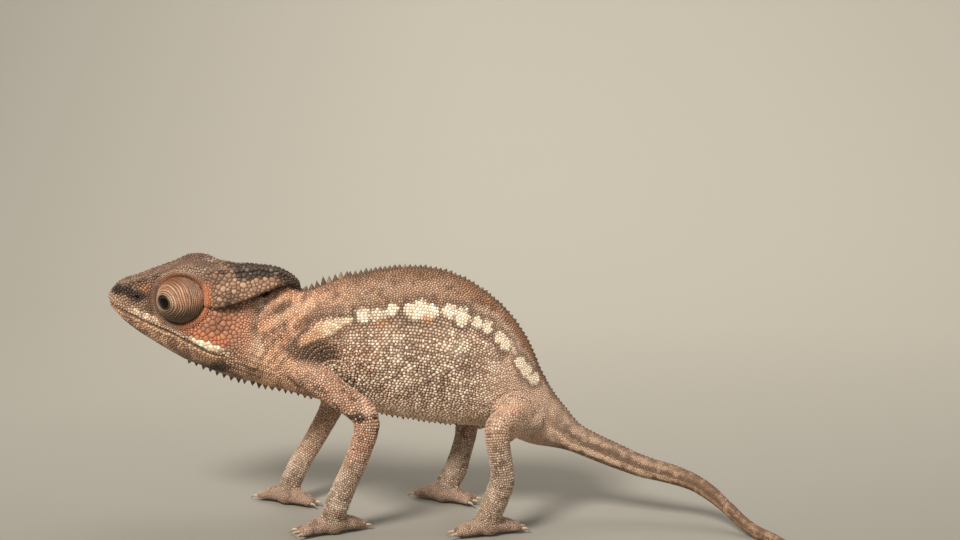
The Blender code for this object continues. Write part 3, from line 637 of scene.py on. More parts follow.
def point_normals(points, faces):
    a, b, c = points[faces].transpose(1, 0, 2)
    cross = np.cross(b - a, c - a)
    normals = np.zeros_like(points)
    for k in range(3):
        for axis in range(3):
            normals[:, axis] += np.bincount(faces[:, k], cross[:, axis], len(points))
    return unit(normals)


def smoothed(values, faces, rounds):
    """Values at the points, averaged with their neighbours'."""
    a, b = np.concatenate([faces[:, :2], faces[:, 1:], faces[:, ::2]]).T
    count = np.bincount(a, minlength=len(values)) + np.bincount(b, minlength=len(values))
    values = np.array(values, float)
    shape = values.reshape(len(values), -1)
    for _ in range(rounds):
        for k in range(shape.shape[1]):
            total = np.bincount(a, shape[b, k], len(values)) + np.bincount(b, shape[a, k], len(values))
            shape[:, k] = 0.5 * shape[:, k] + 0.5 * total / np.maximum(count, 1)
    return shape.reshape(values.shape)


# Creases that are filled as skin webs fill them: centre, reach and rounds of smoothing
CREASES = (
    ((6.5, -9.0, 24.0), 6.5, 60),
    ((3.5, 9.0, 22.0), 6.5, 60),
    ((-34.0, -7.5, 33.0), 4.5, 30),
    ((-35.0, 7.0, 31.0), 4.5, 30),
)


def soften_creases(points, faces):
    for centre, reach, rounds in CREASES:
        gap = np.linalg.norm(points - centre, axis=1)
        chosen = np.nonzero(gap < reach)[0]
        index = np.full(len(points), -1)
        index[chosen] = np.arange(len(chosen))
        local = index[faces]
        local = local[(local >= 0).all(1)]
        share = ramp(gap[chosen], reach, 0.55 * reach)
        moved = smoothed(points[chosen], local, rounds)
        points[chosen] += (moved - points[chosen]) * share[:, None]
    return points


def on_surface(tree, points, faces, places):
    """The nearest spots of a surface to the places, as triangles and the shares of their corners."""
    hits = [tree.find_nearest(p) for p in places.tolist()]
    index = np.array([hit[2] for hit in hits])
    spot = np.array([tuple(hit[0]) for hit in hits])
    a, b, c = (points[faces[index, k]] for k in range(3))
    area = np.linalg.norm(np.cross(b - a, c - a), axis=1) + 1e-12
    share_a = np.linalg.norm(np.cross(b - spot, c - spot), axis=1) / area
    share_b = np.linalg.norm(np.cross(c - spot, a - spot), axis=1) / area
    shares = np.column_stack([share_a, share_b, np.clip(1 - share_a - share_b, 0, 1)])
    return index, shares / shares.sum(1, keepdims=True)


def facts_at(facts, faces, picks, shares):
    rows = at_samples(facts, faces, picks, shares)
    rows[:, :2] = facts[faces[picks, 0], :2]
    return rows


def line_offset(points, line):
    """Distance of points in a plane from a line, how far along it they are, and which side, left positive."""
    best, along, side = np.full(len(points), 1e9), np.zeros(len(points)), np.zeros(len(points))
    run = 0.0
    for a, b in zip(np.array(line[:-1]), np.array(line[1:])):
        way = b - a
        length = np.linalg.norm(way)
        share = np.clip((points - a) @ way / length**2, 0, 1)
        gap = points - a - share[:, None] * way
        distance = np.linalg.norm(gap, axis=1)
        found = (distance, run + share * length, np.sign(way[0] * gap[:, 1] - way[1] * gap[:, 0]))
        best, along, side = np.where(distance < best, found, (best, along, side))
        run += length
    return best, along, side


def line_gap(points, line):
    return line_offset(points, line)[0]


def is_head(label):
    return (label >= SKULL_LABEL) & (label <= MOUND_LABEL)


def under_mouth(x, z):
    """Whether points of the upright head are below the line of the mouth."""
    return z < 41.5 - 0.42 * (x + 62)


def eye_gaps(points):
    """How far each point is outside the left and the right turret."""
    return [np.linalg.norm(points - head_point(EYE_CENTRE, side), axis=1) - EYE_RADIUS for side in (-1, 1)]


def eye_gap(points):
    return np.min(eye_gaps(points), axis=0)


def nostril_gaps(points, stretch=(1, 1, 1)):
    return [np.linalg.norm((points - head_point(NOSTRIL, side)) * stretch, axis=1) for side in (-1, 1)]


def head_plane(points):
    """Points of the head turned upright, as x and z, with how far they are from the midline."""
    upright = head_roll(points, back=True)
    return upright[:, [0, 2]], np.abs(upright[:, 1])


# Folds of the skin: centre x, z, reach, spacing, height, and angle of the folds or None for rings
FOLDS = (
    (-30.7, 33.2, 9.5, 1.4, 0.12, None),
    (-42.5, 44.0, 6.5, 2.7, 0.17, 38.0),
    (-43.0, 37.5, 5.5, 2.2, 0.15, 50.0),
    (-48.5, 34.5, 6.5, 1.4, 0.1, -24.0),
    (7.5, 23.5, 8.5, 1.6, 0.12, None),
    (-12.0, 30.0, 17.0, 3.1, 0.05, 80.0),
)


def skin_relief(points, facts):
    """How far the skin stands out or in at each point, in millimetres."""
    plane, out = head_plane(points)
    label, place = facts[:, 0], facts[:, 2]
    head, flank = is_head(label), label == TRUNK_LABEL
    distance, along, _ = line_offset(plane, MOUTH)
    depth = np.interp(along, (0, 8, 16), (0.32, 0.36, 0.52))
    lips = 0.2 * bell(distance, 0.75, 0.42) - depth * bell(distance, 0, 0.24)
    relief = lips * ramp(along, 29.5, 27.5) * (head & (out > 0.2))
    for gap in nostril_gaps(points, (0.75, 1, 1.1)):
        relief += 0.16 * bell(gap, 0.85, 0.35) - 0.65 * bell(gap, 0, 0.42)
    for gap in eye_gaps(points):
        relief += head * (0.26 * bell(gap, 0.85, 0.4) - 0.16 * bell(gap, 1.65, 0.3) - 0.9 * ramp(gap, 0.4, 0))
    distance, _, side = line_offset(plane, CASQUE_EDGE)
    depth = 0.35 * ramp(plane[:, 0], -43, -46) * (side < 0)
    relief -= (flank | head) * depth * bell(distance, 0.5, 0.5)
    distance = line_gap(plane, [row[:2] for row in SKULL[3:10]])
    relief += 0.1 * bell(distance, 0, 0.5) * (head & (out > 1.5))
    sway = layered_noise(points, 2.4, 3) - 0.5
    for x, z, reach, spacing, height, angle in FOLDS:
        gap_x, gap_z = points[:, 0] - x, points[:, 2] - z
        radius = run = np.hypot(gap_x, gap_z)
        if angle is not None:
            turn = math.radians(angle + 90)
            run = gap_x * math.cos(turn) + gap_z * math.sin(turn)
        wave = np.cos(2 * np.pi * (run / spacing + 0.55 * sway))
        relief += (flank | head) * height * ramp(radius, reach, 0.45 * reach) * wave
    rings = np.cos(2 * np.pi * (place * 3.1 + 0.5 * sway))
    relief += 0.1 * (label == LEG_LABEL) * rings * (bell(place, 5.9, 0.55) + 0.7 * bell(place, 3.1, 0.4))
    head_dents = 0.1 * (layered_noise(points, 1.6, 5) - 0.5)
    return relief + np.where(head, head_dents, 0.12 * (layered_noise(points, 3.5, 6) - 0.5))


def scale_pitch(points, facts):
    """The distance between neighbouring scales at each point, in millimetres."""
    plane, out = head_plane(points)
    x, z = plane.T
    label, place = facts[:, 0], facts[:, 2]
    trunk = np.interp(place, (0, 2, 4, 5, 7.5, 9, 10.5, 13, 16, 20, 26, 34, 38),
                      (0.52, 0.54, 0.66, 0.75, 0.75, 0.64, 0.5, 0.46, 0.42, 0.4, 0.38, 0.34, 0.3))
    trunk = trunk + np.minimum(0.58 - trunk, 0) * ramp(facts[:, 3], 0.4, 0.62)
    legs = np.interp(place, (0, 1, 2, 3, 4, 6, 7), (0.54, 0.6, 0.64, 0.58, 0.53, 0.5, 0.48))
    skull = 0.64 + 0.78 * bell(x, -54.8, 4.6) * bell(z, 43.6, 4.0)
    skull = np.where((x < -66) | (z < 37), 0.62, skull)
    skull = between(skull, 0.5, ramp(x, -51.5, -48.5))
    casque = np.where(out > 3.0, 0.98, 0.8) - 0.32 * ramp(x, -54.5, -59.5)
    casque = between(casque, 0.62, ramp(x, -43.5, -40.0))
    labels = (TRUNK_LABEL, SKULL_LABEL, CASQUE_LABEL, MOUND_LABEL, LEG_LABEL)
    pitch = np.select([label == one for one in labels], [trunk, skull, casque, 0.62, legs], 0.44)
    gap, off_trunk = eye_gap(points), label != TRUNK_LABEL
    pitch = between(pitch, 0.52, ramp(gap, 2.6, 1.5) * off_trunk)
    return np.clip(np.where((gap < SOCKET_REACH) & off_trunk, RING_GAP, pitch), 0.28, 1.7)


def length_along(rows, place):
    """How long the curve through the rows is up to each place, and its direction there."""
    places = even_places(rows, LENGTH_STEPS)
    line = curve_through(rows, places)[:, :3]
    run = np.concatenate([[0], np.cumsum(np.linalg.norm(np.diff(line, axis=0), axis=1))])
    picked = np.clip(np.round(place * LENGTH_STEPS).astype(int), 0, len(places) - 1)
    return np.interp(place, places, run), unit(np.gradient(line, axis=0))[picked]


SHOULDER = (-30.7, 33.2)
# Rows across the neck: centre x, z, reach, angle
NECK_ROWS = ((-48.0, 35.0, 6.0, -24.0), (-42.0, 42.0, 6.0, 40.0))


def scale_rows(points, facts):
    """Rows that the scales keep to: count of rows at each point, its gradient, and how strictly."""
    label, leg, place, up = facts[:, :4].T
    phase, strict = np.zeros(len(points)), np.zeros(len(points))
    slope = np.tile((1.0, 0.0, 0.0), (len(points), 1))

    def lay(mask, *new):
        chosen = mask & (new[2] > strict)
        for held, values in zip((phase, slope, strict), new):
            held[chosen] = values[chosen]

    trunk = label == TRUNK_LABEL
    rise = curve_through(TRUNK, place)[:, 3:6]
    rows = FLANK_HALF_HEIGHT / FLANK_ROW_GAP
    side = ramp(place, 3.0, 5.0) * ramp(place, 11.5, 10.0) * ramp(1 - np.abs(up), 0.3, 0.5)
    lay(trunk, up * rows, rise * rows / (rise**2).sum(1)[:, None], 0.9 * side)
    gap = points[:, [0, 2]] - SHOULDER
    radius = np.hypot(*gap.T) + 1e-6
    ring = ramp(radius, 9.0, 6.0) * (gap[:, 1] > -2.5)
    outward = np.insert(gap, 1, 0, axis=1) / (radius * ROW_GAP)[:, None]
    lay(trunk | (label == LEG_LABEL) & (place < 1.2), radius / ROW_GAP, outward, ring)
    for x, z, reach, angle in NECK_ROWS:
        turn = math.radians(angle + 90)
        across = np.array([math.cos(turn), 0.0, math.sin(turn)]) / ROW_GAP
        near = ramp(np.hypot(points[:, 0] - x, points[:, 2] - z), reach, 0.6 * reach)
        lay(trunk | (label == SKULL_LABEL), points @ across, np.tile(across, (len(points), 1)), 0.8 * near)
    run, way = length_along(TRUNK, place)
    lay(trunk, run / TAIL_ROW_GAP, way / TAIL_ROW_GAP, ramp(place, 13.5, 15.0))
    for index, rows in enumerate(LEGS.values()):
        run, way = length_along(rows, place)
        strength = ramp(place, 2.2, 3.2) * ramp(place, 7.0, 6.6)
        lay((label == LEG_LABEL) & (leg == index), run / ROW_GAP, way / ROW_GAP, strength)
    for side in (-1, 1):
        gap = points - head_point(EYE_CENTRE, side)
        radius = np.linalg.norm(gap, axis=1)
        near = 2.0 * (radius < EYE_RADIUS + SOCKET_REACH)
        lay(~trunk, (radius - EYE_RADIUS) / RING_GAP + 0.3, gap / (radius * RING_GAP)[:, None], near)
    return phase, slope, np.minimum(strict, 1)


def linear(tone):
    """A tone given as screen values from 0 to 255, in linear light; an array already is."""
    if isinstance(tone, np.ndarray):
        return tone
    value = np.array(tone) / 255.0
    return np.where(value <= 0.04045, value / 12.92, ((value + 0.055) / 1.055) ** 2.4)


class Paint:
    """A colour at each of so many points, over which tones are laid in turn."""

    def __init__(self, tone, count):
        self.colour = np.tile(linear(tone), (count, 1))

    def lay(self, tone, *shares):
        """Lays a tone, as much as all its shares say together; a share of three values is a ramp."""
        total = 1.0
        for share in shares:
            total = total * (ramp(*share) if isinstance(share, tuple) else share)
        self.colour = between(self.colour, linear(tone), np.reshape(np.clip(total, 0, 1), (-1, 1)))


# Lobes of the cream blotches along each side: x, z, half length, half height, tilt, strength
BLOTCHES = (
    (-24.4, 45.5, 1.4, 1.5, 10, 0.9), (-21.3, 45.6, 1.9, 1.5, 5, 0.68), (-18.2, 46.7, 1.2, 1.4, -10, 0.95),
    (-12.9, 46.6, 2.7, 1.9, 5, 1.0), (-10.2, 46.3, 1.6, 1.5, -20, 1.0), (-6.2, 46.3, 1.7, 1.4, -10, 0.95),
    (-3.8, 45.1, 1.5, 1.9, 12, 1.0), (-0.5, 43.8, 0.95, 1.6, 24, 1.0), (1.6, 42.8, 1.25, 1.5, 10, 1.0),
    (4.0, 40.4, 1.2, 1.5, 28, 1.0), (5.5, 38.9, 1.2, 1.3, 30, 0.95), (7.3, 37.3, 0.5, 0.9, 30, 0.6),
    (8.6, 35.0, 1.05, 1.4, 25, 1.0), (10.0, 33.0, 1.45, 1.4, 30, 1.0), (11.6, 31.2, 1.3, 1.4, 35, 1.0),
    (-17.3, 41.2, 1.3, 0.8, 0, 0.45), (-19.6, 42.0, 0.8, 0.9, 0, 0.35), (-5.9, 41.9, 1.2, 0.9, 0, 0.4),
    (-7.0, 39.2, 1.1, 0.9, 0, 0.35), (-3.8, 39.4, 0.9, 1.2, 0, 0.35),
)
ORANGE_EDGES = ((-11.0, 44.7, 1.5, 1.0, 0), (-20.6, 43.9, 2.2, 0.9, 0))
STRIPE = ((-37.4, 39.8), (-33.6, 42.4), (-27.2, 44.4))
NECK_STREAK = ((-43.0, 43.5), (-39.5, 46.0), (-35.5, 47.6))
NOSE_STREAK = ((-77.2, 50.7), (-74.4, 50.4), (-71.2, 49.4))
BROW_HIGHLIGHT = ((-66.0, 54.2), (-61.5, 55.3), (-57.0, 55.3), (-54.5, 55.9))
MOUTH_PATCH = ((-60.8, 41.4), (-57.2, 39.9), (-53.4, 38.8))
CHEEK_STREAK = ((-59.6, 42.6), (-57.0, 41.4), (-53.8, 40.3))

COAT_TONE = np.array([0.95, 0.9, 0.87])
BROWN_BACK = (120, 88, 62)
FLANK = (190, 164, 140)
BELLY = (236, 204, 176)
RUST = (172, 120, 86)
SALMON = (212, 152, 118)
CREAM = (246, 228, 202)
PEACH = (226, 178, 138)
GREY_TAN = (160, 140, 120)
TAN = (178, 150, 126)
DARK = (62, 46, 34)
UMBER = (108, 82, 62)
TAIL_BROWN = (144, 116, 94)
PINK_TAN = (172, 146, 126)
HIP_ORANGE = (204, 140, 106)

# Dark lines of the neck: line, half width, tone and strength
NECK_LINES = (
    (((-40.4, 37.8), (-39.4, 39.4), (-36.6, 42.2), (-29.4, 45.3)), 0.55, DARK, 0.6),
    (((-38.0, 43.2), (-34.2, 45.8), (-29.0, 46.8)), 1.2, UMBER, 0.45),
)
# Lighter clusters of scales on each flank: x, z, half length, half height
CLUSTERS = ((-19.2, 38.2, 4.5, 7.0), (-4.8, 38.9, 3.2, 5.6), (-16.5, 32.0, 8.0, 3.6), (-4.0, 30.0, 6.0, 4.0))
STREAK_FRAME = np.array([[0.5, 0, 0.6], [0, 0.8, 0], [-1.25, 0, 0.5]]).T
# Stripes of the tail: angle from its top, and how light it is there
TAIL_STRIPES = (
    (0, 0.15), (0.55, 0.25), (0.8, 0.6), (1.02, 0.5), (1.25, 0.1), (1.6, 0.18), (1.72, 1.0), (2.08, 1.0),
    (2.28, 0.15), (3.14, 0.2),
)
TAIL_BAND = 1.9
FLANK_PLACE = 4.0


def ellipse(points, x, z, half_x, half_z, tilt=0):
    """From 1 at an ellipse's centre to 0 at its edge and below 0 outside."""
    turn = math.radians(tilt)
    gap_x, gap_z = points[:, 0] - x, points[:, 1] - z
    u = (gap_x * math.cos(turn) + gap_z * math.sin(turn)) / half_x
    v = (-gap_x * math.sin(turn) + gap_z * math.cos(turn)) / half_z
    return 1 - np.hypot(u, v)


def trunk_markings(points, facts, grain):
    side = points[:, [0, 2]]
    x, z = side.T
    place, up = facts[:, 2], facts[:, 3]
    patch = layered_noise(points, 4.5, 21)
    fine = layered_noise(points, 1.4, 22)
    broad = layered_noise(points, 9.0, 24)
    coat = Paint(FLANK, len(points))
    lay = coat.lay
    front, rear = ramp(x, -24, -38), ramp(place, 7.6, 10.0)
    lay((172, 139, 112), 0.9, (z, 45.5, 48.5), (place, 9.6, 8.0))
    rough_up = up + 0.22 * (patch - 0.5) + 0.16 * (fine - 0.5)
    lay(BROWN_BACK, 0.9, (rough_up, 0.8, 0.98))
    lay(BELLY, (up, -0.4, -0.88))
    lay((212, 182, 158), 0.8, rear, (up, 0.9, 0.6))
    lay(RUST, 0.4, (patch, 0.5, 0.72), (x, -4, -28))
    lay(SALMON, front, 0.35 + 0.45 * ramp(broad, 0.4, 0.65))
    lay(RUST, 0.4, (rough_up, 0.74, 1.0), (x, -12, -4), (patch, 0.42, 0.6))
    behind_hip = ramp(x, 9.5, 13.5) * ramp(x, 27, 22) * ramp(z, 25.5, 28.5)
    lay((134, 106, 84), 0.55, behind_hip, (0.6 * patch + 0.4 * fine, 0.4, 0.56))
    streaks = layered_noise(points @ STREAK_FRAME, 2.4, 25)
    for tone, strength, low, high in (((240, 190, 152), 0.5, 0.5, 0.66), (UMBER, 0.48, 0.46, 0.34)):
        lay(tone, strength, front, (streaks, low, high))
    for tone, low, high in (((244, 206, 172), 0.62, 0.85), (UMBER, 0.4, 0.15)):
        lay(tone, 0.3, front, (grain, low, high))
    lay(UMBER, 0.6 - 0.3 * rear, (fine, 0.56, 0.72))
    lay(DARK, 0.5, (up, 0.965, 0.995), place < 13)
    window = ramp(x, -33, -25) * ramp(x, 9, 0) * ramp(z, 20, 24) * ramp(z, 44, 40)
    cluster = np.max([ramp(ellipse(side, *spot), 0, 0.6) for spot in CLUSTERS], axis=0)
    level = 0.62 * grain + 0.35 * (patch - 0.5) + 0.7 * (fine - 0.5) + 0.1 * cluster
    lay((248, 226, 202), 0.7, (level, 0.28, 0.62), window)
    lay(UMBER, 0.52, (level, 0.36, 0.06), window, 1 - 0.5 * ramp(z, 31, 26))
    shoulder = np.hypot((x + 34.5) / 1.35, (z - 37.7) * 1.5)
    lay((72, 53, 41), 0.95, (shoulder + 1.6 * (fine - 0.5), 5.4, 2.4))
    warm = ellipse(side, -24.5, 36.5, 5.5, 4.0, -20) + 0.8 * (fine - 0.5)
    lay((168, 112, 82), 0.32, (warm, 0, 0.6), 1 - 0.6 * ramp(grain, 0.5, 0.8))
    # A dark patch behind the blotches: painted shade where the flank dips
    lay(UMBER, 0.55, (ellipse(side, 4.4, 37.2, 1.9, 2.2, 20) + 0.7 * (fine - 0.5), 0, 0.6))
    arc = ramp(np.cos(2 * np.pi * np.hypot(*(side - SHOULDER).T)), -0.1, 0.5)
    lay((240, 214, 186), 0.85, bell(x, -30.4, 2.4), bell(z, 35.2, 1.3), arc)
    lay((176, 138, 108), 0.5, (shoulder, 5.4, 2.6), arc)
    lay(UMBER, 0.6, (ellipse(side, -42.0, 46.4, 3.6, 1.9, 10) + 0.8 * (fine - 0.5), 0.1, 0.7))
    for line, reach, tone, strength in NECK_LINES:
        distance = line_gap(side, line)
        lay(tone, strength, (reach + 0.5 * (fine - 0.5) - distance, 0, 0.5 * reach))
    mark, joining = np.zeros(len(points)), np.zeros(len(points))
    rough = 0.8 * (fine - 0.5) + 0.4 * (grain - 0.5)
    for *lobe, strength in BLOTCHES:
        inside = ellipse(side, *lobe)
        mark = np.maximum(mark, strength * ramp(inside + rough, -0.12, 0.3))
        if strength > 0.5:
            joining = np.maximum(joining, ramp(inside, -1.1, -0.3))
    over_top = 1 - ramp(up, 0.8, 0.9) * ramp(x, 1, 6)
    lay(UMBER, 0.6, joining, over_top)
    distance, along, _ = line_offset(side, STRIPE)
    thick = 0.75 + 1.1 * np.sin(np.pi * np.clip(along / 11.5, 0.03, 1) ** 0.8)
    lay(UMBER, 0.6, (thick + 1.5 - distance, 0, 1.2))
    stripe = Paint((250, 222, 188), len(points))
    stripe.lay(PEACH, 0.9, (along, 7.5, 2.5))
    stripe.lay((170, 126, 92), 0.5, grain < 0.3)
    lay(stripe.colour, 0.88, (thick - distance + 1.3 * rough, -0.2, 0.6))
    distance = line_gap(side, NECK_STREAK)
    lay((228, 190, 152), 0.6, (1.1 - distance + rough, 0, 0.5))
    cream = Paint(CREAM, len(points))
    cream.lay((255, 234, 208), (x, 2, 8))
    lay(cream.colour, mark, over_top, 1 - 0.25 * ramp(grain, 0.35, 0.05))
    lower = np.max([ramp(ellipse(side, *edge) + rough, 0, 0.3) for edge in ORANGE_EDGES], axis=0)
    lay((220, 160, 116), 0.5, lower)
    lay(HIP_ORANGE, 0.5, bell(x, 8.4, 3.0), bell(z, 25.9, 0.6), (fine, 0.32, 0.48))
    lay(UMBER, 0.7, bell(x, 10.4, 1.7), bell(z, 21.3, 0.45))
    dashes = layered_noise(points, 1.1, 26) - 0.5
    turn = np.arctan2(np.abs(facts[:, 4]), up) + 0.35 * dashes
    pale = between(linear((240, 210, 182)), linear((184, 148, 114)), ramp(place, 16, 21)[:, None])
    tail = Paint((92, 68, 51), len(points))
    swayed = turn + 0.175 * (broad - 0.5) + 0.07 * (patch - 0.5)
    tail.lay(pale, np.interp(swayed, *np.transpose(TAIL_STRIPES)))
    tail.lay(TAIL_BROWN, 0.2)
    tail.lay(UMBER, 0.5, (dashes, 0.04, 0.16))
    tail.lay((214, 184, 150), 0.35, (dashes, -0.06, -0.18))
    tail.lay(UMBER, 0.45, (0.5 + 0.5 * np.cos(place * 2 * np.pi / TAIL_BAND), 0.5, 0.9), (place, 18, 23))
    lay(tail.colour, (place, 11.5, 15.0))
    return coat.colour


# Spots on the near foreleg: x, z, reach, tone, strength
LEG_SPOTS = (
    (-25.0, 25.4, 1.5, DARK, 0.85),
    (-34.0, 31.6, 1.2, DARK, 0.7),
    (-22.8, 27.6, 1.9, (228, 192, 166), 0.75),
)


def leg_markings(points, facts, grain):
    label, leg, place = facts[:, :3].T
    x, y, z = points.T
    foot, fore = label == FOOT_LABEL, leg <= 1
    fine = layered_noise(points, 1.3, 31)
    patch = layered_noise(points, 3.0, 32)
    coat = Paint(TAN, len(points))
    lay = coat.lay
    lay((196, 144, 114), np.where(fore, 0.85, 0.2), (place, 5.0, 3.8), 0.5 + 0.4 * ramp(patch, 0.4, 0.6))
    lower_arm = ramp(place + 1.6 * (patch - 0.5), 3.9, 5.5) * ~foot
    lay(GREY_TAN, 0.85, lower_arm)
    lay((172, 150, 128), 0.8, ~fore, (place, 3.2, 4.6))
    lay(UMBER, 0.65, (fine, 0.54, 0.7))
    speckle = 0.6 * patch + 0.4 * fine
    lay(DARK, 0.6, bell(place, 2.6, 0.8), fore, (speckle, 0.47, 0.6))
    lay(DARK, 0.5, fore & ~foot, (place, 3.8, 2.8), (speckle, 0.56, 0.68))
    lay((200, 168, 142), 0.8, ~fore & ~foot, (place, 3.8, 2.4), 1 - 0.5 * ramp(fine, 0.5, 0.66))
    for middle_x, middle_z, reach, tone, strength in LEG_SPOTS:
        gap = np.hypot(x - middle_x, z - middle_z)
        lay(tone, strength, leg == 0, (gap, 1.3 * reach, 0.5 * reach), (y, -7.5, -10.5), (fine, 0.3, 0.5))
    lay((224, 204, 182), 0.2, bell(place, 5.3, 0.4), fore & ~foot & (grain > 0.35))
    lay((206, 176, 148), 0.6, (leg == 1) & ~foot, (place, 6, 4.5))
    lay(HIP_ORANGE, 0.5, bell(x, 8.0, 3.0), bell(z, 25.9, 0.6), ~fore, (fine, 0.32, 0.48))
    light = ramp(grain + 0.4 * (patch - 0.5), 0.62, 0.85)
    lay((240, 218, 194), np.where(foot, 0.22, 0.42), light)
    lay((226, 206, 184), 0.45, (patch, 0.54, 0.68), lower_arm)
    sole = Paint(PINK_TAN, len(points))
    sole.lay(UMBER, 0.5, fine > 0.56)
    sole.lay((214, 190, 168), 0.3, light)
    return np.where(foot[:, None], sole.colour, coat.colour)


def head_markings(points, facts, grain):
    plane, out = head_plane(points)
    x, z = plane.T
    fine = layered_noise(points, 1.2, 41)
    patch = layered_noise(points, 2.6, 42)
    distance, along, side = line_offset(plane, MOUTH)
    upper, lower = side > 0, side <= 0
    casque = facts[:, 0] == CASQUE_LABEL
    gap = eye_gap(points)
    coat = Paint((156, 124, 100), len(points))
    lay = coat.lay
    lay((130, 106, 88), 0.9, (x, -65, -68), (z, 49.0, 50.0))
    lay((100, 76, 58), 0.75, (x, -65, -67), upper, (fine, 0.42, 0.58))
    nose = line_gap(plane, NOSE_STREAK)
    lay((54, 40, 30), 0.92, (1.3 + 0.9 * (fine - 0.5) - nose, 0, 0.7), (out, 0.6, 2.0))
    lay((184, 122, 82), 0.75, bell(x, -70.2, 1.4), bell(z, 51.4, 0.8))
    crown = ramp(out, 5.6, 4.8) * ramp(z, 53.6, 54.6) * ramp(x, -68, -65)
    lay((98, 76, 62), 0.9, crown)
    lay((140, 106, 86), 0.6, crown, (fine, 0.55, 0.68))
    # A pale line along the brow ridge: a painted highlight where the ridge catches the light
    brow = line_gap(plane, BROW_HIGHLIGHT)
    lay((170, 152, 134), 0.7, (brow, 0.7, 0.2), out > 3.2)
    plates = Paint((142, 110, 86), len(points))
    plates.lay((100, 72, 50), 0.7, (patch, 0.48, 0.6))
    plates.lay((184, 148, 120), 0.65, (grain, 0.45, 0.8), (x, -58, -54))
    plates.lay((136, 112, 94), 0.7, (x, -54.5, -58.5))
    lay(plates.colour, casque)
    middle = ramp(5.6 - out + 1.2 * (fine - 0.5), 0, 0.9) * ramp(z, 53.6, 54.6)
    lay((104, 82, 66), 0.8, middle, casque, (x + 4.0 * (patch - 0.5), -53.0, -57.0))
    # The top of the casque behind its front is painted dark: painted shade, with a few lighter plates in it
    ragged = x + 4.5 * (patch - 0.5) + 2.0 * (fine - 0.5)
    shaded_top = ramp(z - 52.4 + 1.4 * (patch - 0.5), 0, 0.8) * ramp(ragged, -55.0, -51.0) * (x < -39.6)
    lay((46, 35, 26), 0.92, shaded_top, casque)
    lay((124, 104, 86), 0.7, shaded_top, casque & (grain > 0.9))
    lay((50, 38, 29), 0.85, (x + 2.0 * (fine - 0.5), -42.4, -40.4), (z, 49.2, 50.8), casque)
    # Just below the casque's rear edge: a painted shadow where the casque overhangs
    fold, _, edge_side = line_offset(plane, CASQUE_EDGE)
    lay(DARK, 0.85, (fold, 1.1, 0.5), edge_side < 0, (x, -52, -48))
    cheek = bell(x, -53.8, 5.0) * bell(z, 43.4, 4.0)
    lay((170, 116, 87), 1.4, cheek, ~casque)
    lay((188, 134, 104), 0.5, cheek, ~casque & (grain > 0.6))
    lay((112, 78, 60), 0.5, cheek, (fine, 0.55, 0.66), ~casque)
    lay((72, 52, 38), 1.1, bell(x, -52.4, 3.4), bell(z, 48.2, 1.3), (fine, 0.34, 0.5))
    lay((240, 174, 134), 0.7, bell(x, -47.5, 3.2), bell(z, 42.6, 3.4), ~casque, (fine, 0.34, 0.5))
    behind = ramp(x, -51.5, -48.5) * ~casque
    lay(SALMON, 0.55, behind)
    lay(UMBER, 0.45, behind, (fine, 0.54, 0.68))
    lay((178, 146, 120), 0.9, upper, (distance, 1.35, 1.05))
    light = 0.35 + 0.6 * ramp(layered_noise(points, 2.2, 44), 0.44, 0.56)
    lay((244, 218, 186), upper, (distance, 2.1, 1.6), (along, 14.5, 12.0), (along, 5.8, 7.2), light)
    lay((178, 148, 122), 0.8, upper, (along, 5.2, 3.6), (distance, 2.6, 1.8))
    lay((232, 208, 178), 0.75, upper, (distance, 0.95, 0.65), (along, 13, 16))
    jaw = lower * ramp(distance, 0.2, 0.8)
    lay((204, 170, 142), 0.9, jaw)
    lay((226, 182, 142), 0.85, jaw, (distance, 2.3, 1.7), grain > 0.3)
    lay((112, 84, 64), 0.7, jaw, (0.55 * patch + 0.45 * fine, 0.46, 0.58))
    chin = bell(x, -55.6, 4.4) * bell(z, 34.2, 1.5)
    lay((58, 44, 33), lower, chin, 1.0 + 0.35 * ramp(fine, 0.4, 0.6))
    streak = line_gap(plane, CHEEK_STREAK)
    lay((206, 126, 88), 0.75, (streak, 1.6, 0.2), upper)
    streak, run, _ = line_offset(plane, MOUTH_PATCH)
    taper = np.interp(run, (0, 2.2, 5.0, 8.2), (0.35, 0.85, 0.95, 0.15))
    lay((255, 236, 204), upper, (taper - streak + 0.5 * (fine - 0.5), 0, 0.35))
    rear = ramp(x, -64.5, -60.5)
    lay((196, 128, 92), (gap, 2.6, 1.0), rear, 0.95, (z, 53.6, 52.0))
    # Round the turret's foot the upper and front rim is painted darker and the crevice nearly black: painted
    # shade, with some orange-brown of the rim's own above
    lay((150, 96, 68), 0.8, (gap, 1.2, 0.5), (z, 50, 53))
    lay((86, 62, 46), 0.75, (gap, 1.0, 0.3), 1 - rear, z < 52)
    lay((30, 22, 18), 0.9, (gap, 0.35, 0.0))
    # The line of the mouth is painted dark: painted shade in the slit between the lips, deeper towards the
    # corner
    line_tone = np.interp(along, (0, 10, 16, 28.5), (0.5, 0.5, 0.85, 0.7))
    lay(DARK, line_tone, along < 28.5, (distance, 0.34, 0.14))
    # The nostrils are painted dark: painted shade inside the openings
    for nostril_gap in nostril_gaps(points):
        lay(DARK, (nostril_gap, 1.25, 0.55))
    return coat.colour


